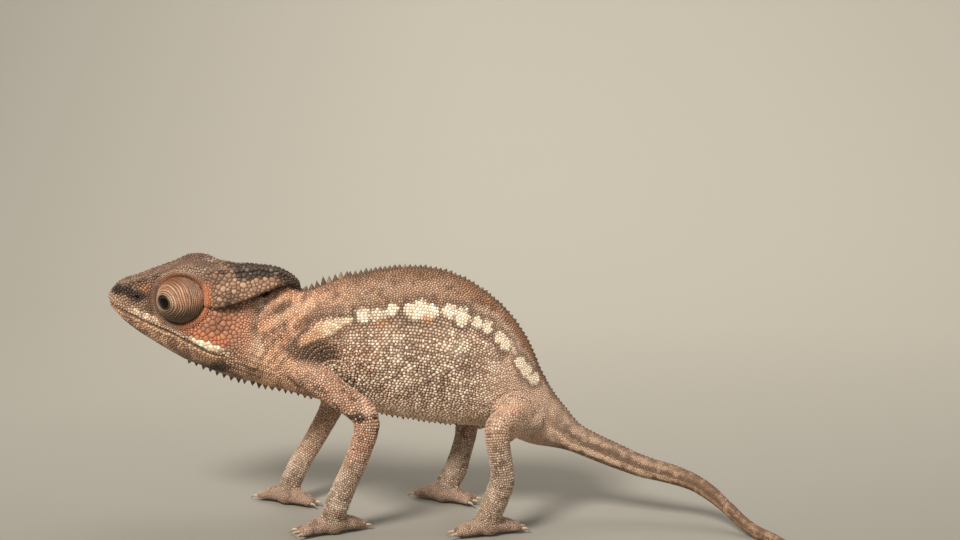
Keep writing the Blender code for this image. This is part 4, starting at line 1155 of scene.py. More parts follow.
def markings(points, facts, grain):
    """The coat's colour at each point, in linear light, the same for skin and scales, with some painted shade
    and highlight laid in.
    """
    label, place = facts[:, 0], facts[:, 2]
    plane, _ = head_plane(points)
    coat = Paint(trunk_markings(points, facts, grain), 1)
    head, leg, foot = is_head(label), label >= LEG_LABEL, label == FOOT_LABEL
    head_colour = head_markings(points[head], facts[head], grain[head])
    onto_neck = ramp(points[head, 0], -50.0, -46.5) * (label[head] != CASQUE_LABEL)
    coat.colour[head] = between(head_colour, coat.colour[head], onto_neck[:, None])
    leg_colour = leg_markings(points[leg], facts[leg], grain[leg])
    onto_flank = ramp(place, 1.8, 0.6) * ~foot
    like_flank = facts[leg] * (1, 1, 0, 0, 0) + (0, 0, FLANK_PLACE, 0, 1)
    flank = trunk_markings(points[leg], like_flank, grain[leg])
    coat.colour[leg] = between(leg_colour, flank, onto_flank[leg, None])
    # A pale net on the throat: partly its own tan, partly painted light where it faces down
    throat = bell(points[:, 0], -45.6, 5.2) * bell(points[:, 2], 35.0, 3.8)
    coat.lay((246, 202, 166), 0.8, throat, (layered_noise(points, 1.4, 22), 0.34, 0.5))
    # The neck just below the casque's rear edge gets the same painted shadow
    fold, _, side = line_offset(plane, CASQUE_EDGE)
    under = (side < 0) & (label != CASQUE_LABEL) & (plane[:, 0] < -37.5)
    coat.lay(DARK, 0.9, (fold, 1.2, 0.5), under, (plane[:, 0], -50, -47))
    return np.clip(coat.colour * COAT_TONE, 0.004, 1)


def calmness(points, facts):
    """How even the scales and the spaces between them are at each point: 0 for granules, 1 for smooth skin.
    It also weakens the painted shade between the scales.
    """
    x, z = head_plane(points)[0].T
    label, leg, place, up = facts[:, :4].T
    trunk = np.max([0.1 + 0.55 * ramp(place, 8.0, 9.8) + 0.15 * ramp(place, 12, 14),
                    0.32 * ramp(up, 0.4, 0.65), 0.5 * ramp(up, -0.5, -0.9)], axis=0)
    jaw = np.where(x < LOW_JAW_END, 0.58, 0.12)
    skull = np.where(under_mouth(x, z), jaw, 0.25 + 0.22 * ramp(z, 52.5, 54.0))
    casque = 0.3 + 0.6 * ramp(x, -51.5, -57.0)
    limb = np.where(leg <= 1, 0.15 + 0.2 * ramp(place, 3, 5), 0.75 - 0.3 * ramp(place, 2, 4))
    labels = (TRUNK_LABEL, SKULL_LABEL, CASQUE_LABEL, LEG_LABEL)
    return np.select([label == one for one in labels], [trunk, skull, casque, limb], 0.5)


def areas(points, faces):
    a, b, c = points[faces].transpose(1, 0, 2)
    return 0.5 * np.linalg.norm(np.cross(b - a, c - a), axis=1)


def surface_samples(points, faces, pitch, count, rng):
    """Random places on the skin, denser where the scales are smaller, with their triangle and shares."""
    order = np.cumsum(areas(points, faces) / pitch[faces].mean(1) ** 2)
    picks = np.searchsorted(order, (np.arange(count) + rng.random(count)) / count * order[-1])
    u, v = rng.random(count), rng.random(count)
    over = u + v > 1
    u, v = np.where(over, (1 - u, 1 - v), (u, v))
    return np.minimum(picks, len(faces) - 1), np.column_stack([1 - u - v, u, v])


def at_samples(values, faces, picks, shares):
    corners = faces[picks]
    values = np.asarray(values, float)
    if values.ndim == 1:
        return (values[corners] * shares).sum(1)
    return (values[corners] * shares[:, :, None]).sum(1)


def tree_of(points):
    tree = KDTree(len(points))
    for index, point in enumerate(points.tolist()):
        tree.insert(point, index)
    tree.balance()
    return tree


def squeezed(points):
    """Points drawn together along the trunk, so that its scales come out longer than they are high."""
    ends = np.array([-90.0, -40.0, -34.0, 8.0, 14.0, 90.0])
    drawn = np.cumsum([0, *(np.diff(ends) * (1.0, 0.87, 0.74, 0.87, 1.0))])
    return np.column_stack([np.interp(points[:, 0], ends, drawn), points[:, 1:]])


def nearest(tree, points, item=1):
    """The entry of a tree nearest to each point: its index, or its distance where item is 2."""
    return np.array([tree.find(p)[item] for p in points.tolist()])


def spread_seeds(samples, normals, pitch, rows, held, held_normals):
    """Places set evenly, about one pitch apart, in their rows and clear of the held places."""
    phase, slope, strict = rows
    count = len(samples) // SAMPLES_A_SCALE
    key = np.floor((samples - samples.min(0)) / SORT_CELL).astype(np.int64)
    code = np.zeros(len(samples), np.int64)
    for bit in range(9):
        for axis in range(3):
            code |= (key[:, axis] >> bit & 1) << (3 * bit + axis)
    order = np.argsort(code, kind="stable")
    chosen = order[(np.arange(count) * len(samples) / count).astype(int)]
    lifted, held = samples + SEED_LIFT * normals, held + SEED_LIFT * held_normals
    drawn, sample_tree = squeezed(lifted), tree_of(lifted)
    weight = 1 / pitch**2
    seeds = lifted[chosen]
    seeds = seeds[nearest(tree_of(held), seeds, 2) > HELD_GAP * pitch[chosen]]
    for turn in range(RELAXATIONS):
        owner = nearest(tree_of(squeezed(np.concatenate([seeds, held]))), drawn)
        free = owner < len(seeds)
        total, *moved = (np.bincount(owner[free], (weight * v)[free], len(seeds)) for v in (1, *lifted.T))
        live = total > 0
        seeds = np.stack(moved, 1)[live] / total[live, None]
        if turn >= FREE_ROUNDS:
            close = nearest(sample_tree, seeds)
            level = phase[close] + np.einsum("ij,ij->i", slope[close], seeds - lifted[close])
            steep = np.maximum((slope[close] ** 2).sum(1), 1e-6)
            shift = (np.round(level) - level) * strict[close] / steep
            seeds = seeds + slope[close] * shift[:, None]
    close = nearest(sample_tree, seeds)
    tree = tree_of(seeds)
    kept = np.ones(len(seeds), bool)
    for index, point in enumerate(seeds.tolist()):
        if kept[index]:
            for _, other, gap in tree.find_n(point, 3)[1:]:
                if gap < CLOSEST_GAP * pitch[close[index]]:
                    kept[other] = False
    return (seeds - SEED_LIFT * normals[close])[kept]


def scale_bodies(seeds, normals, pitch, sizes, heights, corners, rings):
    """Domed plates whose outlines fit between their neighbours: points, triangles of one, rise, reach."""
    lifted = seeds + SEED_LIFT * normals
    tree = tree_of(lifted)
    near = np.array([[hit[1] for hit in tree.find_n(p, NEIGHBOURS + 1)] for p in lifted.tolist()])[:, 1:]
    along = (1.0, 0.0, 0.0) + 0.2 * normals[:, [1, 2, 0]]
    first = unit(along - normals * np.einsum("ij,ij->i", along, normals)[:, None])
    axes = np.stack([first, np.cross(normals, first), normals])
    x, y, z = np.einsum("ijk,aik->aij", seeds[near] - seeds[:, None, :], axes)
    flat = np.maximum(np.hypot(x, y), 0.05)
    half = flat * sizes[:, None] / (sizes[:, None] + sizes[near])
    angle = turns(corners)
    cosine = (x[:, :, None] * np.cos(angle) + y[:, :, None] * np.sin(angle)) / flat[:, :, None]
    pull = np.clip(cosine, 0, None) / half[:, :, None]
    longest = 0.7 * (pitch * np.sqrt(sizes))[:, None] * (1 + 0.25 * np.cos(angle) ** 2)
    pull_sum = np.maximum((pull**OUTLINE_POWER).sum(1), 1e-30)
    radius = np.minimum(pull_sum ** (-1 / OUTLINE_POWER), longest)
    radius = np.maximum(radius * 0.97 - 0.01, 0.12)
    bend = np.clip(np.take_along_axis(z / flat**2, pull.argmax(1), 1), -0.5, 0.25)
    spoke = spokes(angle[None], axes[0][:, None], axes[1][:, None])
    parts = []
    for reach, rise in rings:
        out = radius * reach
        lift = bend * out**2 + heights[:, None] * rise
        parts.append(seeds[:, None] + out[..., None] * spoke + lift[..., None] * normals[:, None])
    points = np.concatenate([*parts, (seeds + normals * heights[:, None])[:, None]], axis=1)
    i = np.arange(corners)
    top = (len(rings) - 1) * corners
    faces = [face for low in range(0, top, corners) for face in band(low, low + corners, corners)]
    faces.append(np.column_stack([top + i, top + (i + 1) % corners, np.full(corners, top + corners)]))
    fan = np.arange(1, corners - 1)
    faces.append(np.column_stack([0 * fan, fan + 1, fan]))
    reach, rise = np.array([*np.repeat(rings, corners, axis=0), (0.0, 1.0)]).T
    return points, np.concatenate(faces), rise, reach


def full_turn(y, x):
    """How far round a full turn each direction points, from 0 to 1."""
    return (np.arctan2(y, x) / (2 * np.pi)) % 1.0


def chart(points, facts):
    """The place of each point on an unwrap of the skin: along each part and round it, from 0 to 1."""
    label, leg, place = facts[:, :3].T
    turn = full_turn(facts[:, 4], facts[:, 3])
    upright = head_roll(points, back=True)
    spin = full_turn(upright[:, 1], upright[:, 2] - ROLL_HEIGHT)
    row = np.clip(leg, 0, 3).astype(int)
    column, line = 0.5 * (row % 2), 0.67 + 0.16 * (row // 2)
    gap_x, gap_y = points.T[:2] - np.array([rows[-1][:2] for rows in LEGS.values()])[row].T
    foot_turn = full_turn(gap_y, gap_x)
    trunk = (place / (len(TRUNK) - 1), 0.01 + 0.4 * turn)
    head = ((upright[:, 0] + 80) / 44, 0.43 + 0.22 * spin)
    limb = (column + 0.33 * place / 7, line + 0.15 * turn)
    foot = (column + 0.34 + 0.012 * np.hypot(gap_x, gap_y), line + 0.15 * foot_turn)
    spot = np.where(is_head(label), head, trunk)
    spot = np.where(label == LEG_LABEL, limb, spot)
    spot = np.where(label == FOOT_LABEL, foot, spot)
    return 0.01 + 0.98 * np.clip(spot.T, 0, 1)


def round_spot(turn, reach):
    """Small steps on the chart, so that the corners of one body don't share a place."""
    return CHART_SPREAD * np.column_stack([np.cos(turn) * reach, np.sin(turn) * reach])


def add_chart(made, faces, spots):
    layer = made.data.uv_layers.new(name="OFBake")
    layer.data.foreach_set("uv", np.ascontiguousarray(spots[faces.ravel()], np.float32).ravel())


def add_node(tree, kind, **sockets):
    """A shader node with the values of its sockets, whose names take a low line for a space."""
    node = tree.nodes.new("ShaderNode" + kind)
    for name, value in sockets.items():
        node.inputs[name.replace("_", " ")].default_value = value
    return node


def coloured_material(name, roughness, specular):
    """A material that takes its colour from its mesh's own, with its node tree, shader and colour socket."""
    made = bpy.data.materials.new(name)
    made.use_nodes = True
    tree = made.node_tree
    layer = tree.nodes.new("ShaderNodeVertexColor")
    layer.layer_name = "coat"
    shader = tree.nodes["Principled BSDF"]
    tree.links.new(layer.outputs["Color"], shader.inputs["Base Color"])
    shader.inputs["Roughness"].default_value = roughness
    shader.inputs["Specular IOR Level"].default_value = specular
    return made, tree, shader, layer.outputs["Color"]


def coat_material(name, roughness, bump_scale, bump_strength):
    """A dry skin that takes its colour from the coat's markings, with fine grain."""
    made, tree, shader, colour = coloured_material(name, roughness, 0.35)
    link = tree.links.new
    place = add_node(tree, "TexCoord")
    speckle = add_node(tree, "TexNoise", Scale=2600, Detail=3)
    shade = add_node(tree, "MapRange", From_Min=0.3, From_Max=0.7, To_Min=0.84, To_Max=1.12)
    mix = add_node(tree, "Mix", Factor=1.0)
    mix.data_type = "RGBA"
    mix.blend_type = "MULTIPLY"
    dents = add_node(tree, "TexNoise", Scale=bump_scale, Detail=4)
    bump = add_node(tree, "Bump", Strength=bump_strength, Distance=0.00005)
    for texture in (speckle, dents):
        link(place.outputs["Object"], texture.inputs["Vector"])
    link(dents.outputs["Fac"], bump.inputs["Height"])
    link(bump.outputs["Normal"], shader.inputs["Normal"])
    link(speckle.outputs["Fac"], shade.inputs["Value"])
    link(colour, mix.inputs["A"])
    link(shade.outputs["Result"], mix.inputs["B"])
    link(mix.outputs["Result"], shader.inputs["Base Color"])
    return made


def ready(made, material, slot_name, *nodes):
    made.data.materials.append(material)
    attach(made, "root")
    if nodes:
        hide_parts(*nodes)


def snapped(tree, start, way):
    place, normal, _, _ = tree.ray_cast(start.tolist(), way)
    return [] if place is None else [(place, normal)]


def labial_seeds(tree):
    """Even rows of larger scales along both lips, on both sides, as places and normals."""
    found = []
    for offset, number in ((0.72, 27), (-0.72, 29)):
        for x, z in curve_through(MOUTH, np.linspace(0.55, len(MOUTH) - 1.6, number)):
            for side in (-1, 1):
                found += snapped(tree, head_point((x, 12, z + offset), side), (0, -side, 0))
    return found


def ridge_seeds(tree):
    """Tubercles along the edge of the snout, brow and casque."""
    found = []
    line = [row[:3] for row in (*SKULL[2:10], *CASQUE[2:10])]
    for x, z, y in curve_through(line, np.linspace(0, len(line) - 1, 40)):
        for side in (-1, 1):
            found += snapped(tree, head_point((x, y + 1.0, z + 4), side), (0, -side * 0.25, -1))
    return found


def build_skin():
    """The skin's points, triangles, normals, facts and the pitch of its scales."""
    source, source_faces, source_facts = source_shapes()
    tree = BVHTree.FromPolygons(source.tolist(), source_faces.tolist())
    points, faces = fused_skin(source, source_faces)
    points = soften_creases(points, faces)
    facts = facts_at(source_facts, source_faces, *on_surface(tree, source, source_faces, points))
    normals = point_normals(points, faces)
    normals = unit(smoothed(normals, faces, NORMAL_ROUNDS))
    points = points + normals * (skin_relief(points, facts) - SKIN_SINK)[:, None]
    points[:, 2] = np.maximum(points[:, 2], FLOOR_GAP)
    normals = point_normals(points, faces)
    pitch = smoothed(scale_pitch(points, facts), faces, PITCH_ROUNDS)
    return points, faces, normals, facts, pitch


def clipped(points):
    """Points held inside the solids' box."""
    low = np.array(CAD_BOX[0]) / MM - SHIFT
    high = np.array(CAD_BOX[1]) / MM - SHIFT
    return np.clip(points, low + BOX_MARGIN, high - BOX_MARGIN)


# Kinds of scales
FREE, LABIAL, STUD = range(3)
PLATE_PITCH = 0.75
LABIAL_SIZE = 1.15
LABIAL_HEIGHT = 0.16
TOP_HEIGHT = 0.26
# How much the sizes of scales differ on the casque, among the other plates and elsewhere
CASQUE_UNEVEN = 0.34
PLATE_UNEVEN = 0.24
SCALE_UNEVEN = 0.09


def build_coat(points, faces, normals, facts, pitch, rng):
    """Every scale as a small closed plate, in pieces by part of the body."""
    count = int((areas(points, faces) / (HEXAGON_AREA * pitch[faces].mean(1) ** 2)).sum())
    picks, shares = surface_samples(points, faces, pitch, count * SAMPLES_A_SCALE, rng)
    samples = at_samples(points, faces, picks, shares)
    kept = (eye_gap(samples) > 0.12) & (samples[:, 2] > 0.05)
    picks, shares, samples = picks[kept], shares[kept], samples[kept]
    smooth_normals = unit(smoothed(normals, faces, COAT_NORMAL_ROUNDS))
    rows = scale_rows(samples, facts_at(facts, faces, picks, shares))
    tree = BVHTree.FromPolygons(points.tolist(), faces.tolist())
    held = [(*spot, LABIAL) for spot in labial_seeds(tree)] + [(*spot, STUD) for spot in ridge_seeds(tree)]
    held = [spot for spot in held if eye_gap(np.array(spot[:1]))[0] > 0.3]
    held_places, held_normals, held_kinds = (np.array(column) for column in zip(*held))
    free = spread_seeds(samples, unit(at_samples(smooth_normals, faces, picks, shares)),
                        at_samples(pitch, faces, picks, shares), rows, held_places, held_normals)
    picks, shares = on_surface(tree, points, faces, np.concatenate([free, held_places]))
    seeds, pitch = (at_samples(values, faces, picks, shares) for values in (points, pitch))
    facts = facts_at(facts, faces, picks, shares)
    number, label = len(seeds), facts[:, 0]
    kind = np.concatenate([np.full(len(free), FREE), held_kinds])
    plates = np.isin(label, (SKULL_LABEL, CASQUE_LABEL)) & (pitch > PLATE_PITCH)
    uneven = np.where(plates, np.where(label == CASQUE_LABEL, CASQUE_UNEVEN, PLATE_UNEVEN), SCALE_UNEVEN)
    sizes = np.choose(kind, (np.exp(rng.normal(0, 1, number) * uneven), LABIAL_SIZE, 1.0))
    grain = rng.random(number)
    heights = np.where(plates, 0.13, 0.27 + 0.06 * rng.random(number)) * pitch
    x, z = head_plane(seeds)[0].T
    low_jaw = (label == SKULL_LABEL) & (x < LOW_JAW_END) & under_mouth(x, z)
    calm = calmness(seeds, facts)
    flatter = np.where(low_jaw, 0.6, np.where(plates, 1.0, 1.05 - 0.5 * calm))
    spread = np.where(label == TRUNK_LABEL, 0.13, 0.11) * (1 - 0.6 * calm)
    scales = {
        "facts": facts, "calm": calm, "seeds": seeds, "pitch": pitch, "sizes": sizes,
        "normals": unit(at_samples(smooth_normals, faces, picks, shares)),
        "heights": np.choose(kind, (np.minimum(heights * flatter, TOP_HEIGHT), LABIAL_HEIGHT, TOP_HEIGHT)),
        "colour": markings(seeds, facts, grain) * np.exp(rng.normal(0, 1, number) * spread)[:, None],
    }
    material = coat_material("scales", 0.5, 5200, 0.35)
    for name, mask, slot_name, corners, rings in coat_groups(seeds, facts, plates):
        if mask.any():
            made = coat_piece(name, mask, scales, corners, rings)
            ready(made, material, slot_name)


# Rings of a scale's body: reach as a share of its outline, and height as a share of its own
FLAT_RINGS = ((1.0, -0.6), (0.94, 0.25), (0.74, 0.78), (0.42, 0.97))
DOME_RINGS = ((1.14, -0.5), (0.76, 0.62))
OVAL_RINGS = ((1.12, -0.5), (0.8, 0.5), (0.46, 0.92))
# Heights on a scale's body and how light it is painted there: painted shade low on it and between the scales,
# a painted highlight on its top
FLAT_SHADES = ((-0.6, 0.25, 0.78, 1.0), (0.52, 0.76, 1.0, 1.06))
DOME_SHADES = ((-0.6, 0.0, 0.66, 1.0), (0.18, 0.32, 0.98, 1.36))
BODY_KEYS = ("seeds", "normals", "pitch", "sizes", "heights")


def coat_groups(seeds, facts, plates):
    """The pieces of the coat: name, which scales, slot, corners of each scale and its rings."""
    label, leg, place = facts[:, :3].T
    head, trunk, right = is_head(label), label == TRUNK_LABEL, seeds[:, 1] > 0
    groups = [("head_plates", head & plates, "skin", 10, FLAT_RINGS),
              ("head_scales", head & ~plates, "skin", 8, DOME_RINGS)]
    for side, mask in (("left", trunk & ~right), ("right", trunk & right)):
        front, rear = place < 4.0, place >= 7.5
        groups += [(f"front_scales_{side}", mask & front, "skin", 7, DOME_RINGS),
                   (f"middle_scales_{side}", mask & ~front & ~rear, "skin", 8, OVAL_RINGS),
                   (f"rear_scales_{side}", mask & rear & (place < 13.5), "skin", 8, OVAL_RINGS)]
    groups.append(("tail_scales", trunk & (place >= 13.5), "skin", 6, DOME_RINGS))
    for index, name in enumerate(LEGS):
        groups.append((name + "_scales", (label >= LEG_LABEL) & (leg == index), "limb_skin", 6, DOME_RINGS))
    return groups


def coat_piece(name, mask, scales, corners, rings):
    """One joined mesh of the scales in the mask; the neighbours around them shape their outlines too."""
    seeds = scales["seeds"]
    low, high = seeds[mask].min(0) - PIECE_MARGIN, seeds[mask].max(0) + PIECE_MARGIN
    near = np.all((seeds > low) & (seeds < high), axis=1)
    local = {key: values[near] for key, values in scales.items()}
    points, faces, rise, reach = scale_bodies(*(local[key] for key in BODY_KEYS), corners, rings)
    keep = mask[near]
    own = {key: values[keep] for key, values in local.items()}
    count, stride = keep.sum(), points.shape[1]
    faces = (faces[None] + (np.arange(count) * stride)[:, None, None]).reshape(-1, 3)
    # Each scale is painted darker towards its foot and lighter on its top: painted shade between the scales
    # and a painted highlight on each crown
    shade = np.interp(rise, *(FLAT_SHADES if rings is FLAT_RINGS else DOME_SHADES))
    # Scales of light colour and calm skin get less of this painted shade
    light = np.maximum(ramp(own["colour"].mean(1), 0.35, 0.8), 0.8 * own["calm"])[:, None]
    shade = shade + light * np.clip(0.9 - shade, 0, 1)
    colours = np.clip(own["colour"][:, None] * shade[..., None], 0, 0.95).reshape(-1, 3)
    made = placed(name, clipped(points[keep].reshape(-1, 3)), faces, colours)
    turn = np.append(np.tile(turns(corners), len(rings)), 0)
    spots = chart(own["seeds"], own["facts"])[:, None] + round_spot(turn, reach)
    add_chart(made, faces, spots.reshape(-1, 2))
    return made


def gathered(name, joined):
    points, faces, colours, *spots = joined.whole()
    made = placed(name, clipped(points), faces, colours)
    if spots:
        add_chart(made, faces, spots[0])
    return made


THORN_SIDES = 8
# Rings of a thorn: height and width, each as a share of its own
THORN_RINGS = ((-0.5, 1.1), (0.0, 1.0), (0.32, 0.74), (0.64, 0.42), (0.88, 0.16))


def thorn(base, way, along, height, half, lean):
    """A flattened, slightly hooked cone from its sunken root to its tip, as points and triangles."""
    way = unit(way - along * (way @ along))
    spoke = spokes(turns(THORN_SIDES), along, 0.8 * np.cross(way, along))
    rings = []
    for up, wide in THORN_RINGS:
        hooked = base + way * height * up + along * lean * height * max(up, 0) ** 1.5
        rings.append(hooked + half * wide * spoke)
    return closed_body(rings, base + way * height + along * lean * height)


def trunk_edge(place, under):
    """A place on the trunk's ridge or keel, its way out, its way along and how far one row reaches there."""
    row = curve_through(TRUNK, [place, place + 0.02])
    rise = row[:, 3:6] * (-1 if under else 1)
    edge = row[:, :3] + rise
    step = edge[1] - edge[0]
    along = unit(step)
    return edge[0], unit(rise[0] - along * (rise[0] @ along)), along, np.linalg.norm(step) / 0.02


# Crests: first and last place along the rows, spacing, heights, half width, whether under the belly
CRESTS = (
    (1.9, 4.0, 1.35, (1.15, 1.75, 1.5), 0.74, False),
    (4.0, 12.4, 1.08, (1.15, 0.85, 0.68, 0.55, 0.45), 0.57, False),
    (12.4, 22.0, 0.9, (0.42, 0.32, 0.24), 0.4, False),
    (0.2, 1.95, 1.5, (1.3, 1.25, 1.1), 0.76, True),
    (2.1, 3.3, 1.4, (1.0, 0.9, 0.7), 0.55, True),
    (3.6, 10.0, 1.15, (0.75, 0.85, 0.75, 0.5), 0.46, True),
)
# Crest of the chin: first and last x, spacing, heights
CHIN_CREST = (-62.4, -50.6, 1.55, (1.3, 1.5, 1.5, 1.45))
RAY_START = 3
PALE_SHARE = 0.15


def build_crests(tree, rng):
    joined = Joined()
    dark, tip, pale = linear((84, 62, 44)), linear((108, 84, 62)), linear((150, 122, 96))
    level = np.concatenate([np.repeat(np.linspace(0, 0.9, len(THORN_RINGS)), THORN_SIDES), [0, 1]])[:, None]

    def height_at(share, heights):
        return np.interp(share, np.linspace(0, 1, len(heights)), heights)

    def plant(base, way, along, height, half, lean):
        place, _, _, distance = tree.ray_cast((base + way * RAY_START).tolist(), (-way).tolist())
        if place is not None and distance < 2 * RAY_START:
            base = np.array(place) - way * 0.05
        points, faces = thorn(base, way, along, height, half, lean)
        root = pale if rng.random() < PALE_SHARE else dark
        colours = between(root, tip, level) * rng.uniform(0.85, 1.15)
        spot = 0.02 + 0.96 * np.array([(base[0] + 80) / 150, 0.5 + base[1] / 60])
        spots = spot + round_spot(np.arange(len(points)) * 2.4, 1)
        joined.add(points, faces, np.clip(colours, 0.01, 1), spots)

    for start, end, spacing, heights, half, under in CRESTS:
        place = start
        while place < end:
            base, way, along, length = trunk_edge(place, under)
            height = height_at((place - start) / (end - start), heights) * rng.uniform(0.82, 1.12)
            sway = way + np.array([0, rng.normal(0, 0.07), 0])
            plant(base, unit(sway), along, height, half * rng.uniform(0.88, 1.1), 0.3)
            place += spacing * rng.uniform(0.9, 1.1) / length
    x, end, spacing, heights = CHIN_CREST
    while x < end:
        low, next_low = np.interp([x, x + 0.1], [row[0] for row in SKULL], [row[6] for row in SKULL])
        base = head_point((x, 0, low))
        along = unit(head_point((x + 0.1, 0, next_low)) - base)
        way = unit(np.array([along[2], 0.6 * math.sin(HEAD_ROLL), -along[0]]))
        height = height_at((x - CHIN_CREST[0]) / (end - CHIN_CREST[0]), heights)
        plant(base, way, along, height * rng.uniform(0.85, 1.12), 0.8, 0.15)
        x += spacing * rng.uniform(0.9, 1.1) * along[0]
    ready(gathered("crests", joined), coat_material("thorns", 0.55, 4000, 0.3), "skin")


def build_claws():
    joined = Joined()
    root, tip = linear((196, 172, 146)), linear((120, 96, 78))
    share = np.linspace(0, 1, 8)
    width = CLAW_RADIUS * np.interp(share, (0, 0.5, 1), (1.0, 0.72, 0.1))
    level = np.concatenate([np.repeat(share, 8), [0, 1]])[:, None]
    claws = [claw for name in LEGS for bundle in foot_bundles(name)[1] for claw in bundle[2]]
    for claw in claws:
        points, faces = closed_body(tube_rings(curve_through(claw, 2 * share), width * 0.8, width, 8))
        points[:, 2] = np.maximum(points[:, 2], 0.01)
        joined.add(points, faces, between(root, tip, level**1.5))
    ready(gathered("claws", joined), coat_material("claw_horn", 0.28, 1500, 0.1), "limb_skin")


def lid_stretch(turn):
    """How much wider the opening of the lids is at each angle round it than its smallest radius."""
    return 1 + LID_STRETCH * np.cos(turn) ** 2


def build_turret(side, gaze, name, rng):
    """The turret of fused lids: uneven rings of granules round a small opening, on a ball in its socket."""
    centre = head_point(EYE_CENTRE, side)
    axis = unit(np.array(gaze))
    first = unit(np.cross(axis, UP))
    second = np.cross(axis, first)
    around, steps = TURRET_GRID
    turn = turns(around)
    spoke = spokes(turn, first, second)
    start = np.arcsin(LID_OPENING * lid_stretch(turn) / EYE_RADIUS)
    span = TURRET_END - start
    tilt = start + span * np.linspace(0, 1, steps)[:, None]
    grid = np.sin(tilt)[..., None] * spoke + np.cos(tilt)[..., None] * axis
    flat = (grid * EYE_RADIUS).reshape(-1, 3)
    sway = layered_noise(flat, 2.6, 51 + int(side > 0)) - 0.5 + 0.2 * (layered_noise(flat, 1.2, 53) - 0.5)
    sway = sway.reshape(steps, around)
    edges = np.cumsum(np.concatenate([[0], rng.uniform(0.6, 1.5, TURRET_FOLDS)]))
    edges = edges / edges[-1]
    share = np.clip((tilt - start) / span + 0.11 * sway * ramp(tilt - start, 0, 0.5), 0, 0.9999)
    fold = np.searchsorted(edges, share, side="right") - 1
    ridge = np.clip(np.sin(np.pi * (share - edges[fold]) / np.diff(edges)[fold]), 0, 1) ** 0.55
    girth = 2 * np.pi * EYE_RADIUS * np.sin(start + span * edges[fold])
    granules = np.maximum(np.round(girth / GRANULE), 8)
    beads = np.abs(np.sin(0.5 * granules * (turn + 6.0 * rng.random(TURRET_FOLDS)[fold]) + 1.2 * sway))
    rim = bell(tilt, start, 0.045)
    swell = 0.24 * ridge + 0.04 * beads**0.6 * ridge + 0.06 * rim
    radius = EYE_RADIUS * (1 + 0.05 * bell(tilt, 0, 0.7)) - TURRET_SINK + swell
    opening = spoke * (LID_OPENING * lid_stretch(turn))[:, None]
    rim_height = math.sqrt(EYE_RADIUS**2 - LID_OPENING**2)
    inner = [centre + opening * wide + axis * (rim_height - deep)
             for wide, deep in ((EYEBALL_WIDTH, LID_DEPTH), (0.93, 0.5))]
    points, faces = closed_body([*inner, *(centre + grid * radius[..., None])])
    patch, grey = layered_noise(flat, 1.7, 61), layered_noise(flat, 3.4, 62)
    lids = Paint((200, 150, 118), len(flat))
    lids.lay((162, 134, 110), 0.8, bell(tilt, start, 0.3).ravel())
    lids.lay((152, 120, 96), 0.7, (grey, 0.45, 0.6))
    lids.lay((222, 180, 148), 0.5, (patch, 0.55, 0.68))
    # The lids' lower side and top are painted darker: partly painted shade, partly their own greyer and more
    # orange tones
    height = grid[..., 2].ravel()
    lids.lay((98, 82, 64), 0.9, (height, 0.1, -0.62))
    lids.lay((120, 74, 46), 0.9, (height, 0.4, 0.85))
    # The grooves between folds are painted dark and each granule lighter on its top: painted shade and
    # painted highlight
    lids.lay((60, 38, 26), 0.95, np.clip(1 - ridge.ravel(), 0, 1) ** 0.7)
    lids.colour = lids.colour * (0.66 + 0.44 * beads.ravel()[:, None] ** 0.7)
    lids.lay((112, 96, 78), 0.8, rim.ravel())
    # The wall of the opening inside the lids is painted near black: painted shade in the recess
    dark = Paint((16, 13, 10), 2 * around).colour
    colours = np.concatenate([dark, lids.colour, dark[:2]])
    made = placed("lids_" + name, points, faces, np.clip(colours, 0, 1))
    ready(made, coat_material("lid_skin_" + name, 0.48, 6000, 0.25), "eyelid", "eyelid_" + name)
    build_eyeball(centre, axis, first, second, rim_height, name)


def build_eyeball(centre, axis, first, second, rim_height, name):
    """The front of the eyeball in the lids' opening: a dark pupil in a narrow iris."""
    around, steps = 48, 16
    share = np.linspace(0.02, 1, steps)[::-1]
    turn = turns(around)
    opening = spokes(turn, first, second) * (EYEBALL_WIDTH * LID_OPENING * lid_stretch(turn))[:, None]
    heights = rim_height - EYEBALL_DEPTH + EYEBALL_BULGE * np.sqrt(1 - (share * 0.96) ** 2)
    steps_out = [(0.9, rim_height - LID_DEPTH), *zip(share, heights)]
    points, faces = closed_body([centre + opening * wide + axis * high for wide, high in steps_out])
    pupil = linear((12, 10, 9))
    iris = 0.7 * ramp(share, 0.8, 0.86) * ramp(share, 0.98, 0.94)
    rows = np.concatenate([[pupil], between(pupil, linear((104, 78, 52)), iris[:, None])])
    colours = np.concatenate([np.repeat(rows, around, axis=0), [pupil, pupil]])
    made = placed("eyeball_" + name, points, faces, colours)
    ready(made, coloured_material("eyeball_" + name, 0.1, 0.18)[0], "eye", "eye_" + name)


# Lamps: name, place, size, power, colour
LAMPS = (
    ("key", (-0.25, -0.38, 0.5), 0.2, 5.6, (1.0, 0.965, 0.91)),
    ("fill", (0.45, -0.45, 0.25), 0.45, 0.9, (1.0, 0.97, 0.94)),
    ("top", (0.05, 0.25, 0.6), 0.45, 1.4, (1.0, 0.98, 0.96)),
)
LAMP_AIM = np.array((0, 0, 0.03))
# The floor from front to back as y, z: level, then a bend, then upright
FLOOR_BEND = 0.25
FLOOR_BACK = 0.5
FLOOR_FRONT = -0.05
# How light the front of the floor is painted: painted shade towards the front
FRONT_PAINTED_LIGHT = 0.44
BEND_START = FLOOR_BACK - FLOOR_BEND
BEND_STEPS = 13
FLOOR_PROFILE = [
    (-4.0, 0.0),
    (FLOOR_FRONT, 0.0),
    *[(BEND_START + FLOOR_BEND * math.sin(turn), FLOOR_BEND * (1 - math.cos(turn)))
      for turn in np.linspace(0, math.pi / 2, BEND_STEPS)],
    (FLOOR_BACK, 0.9),
]
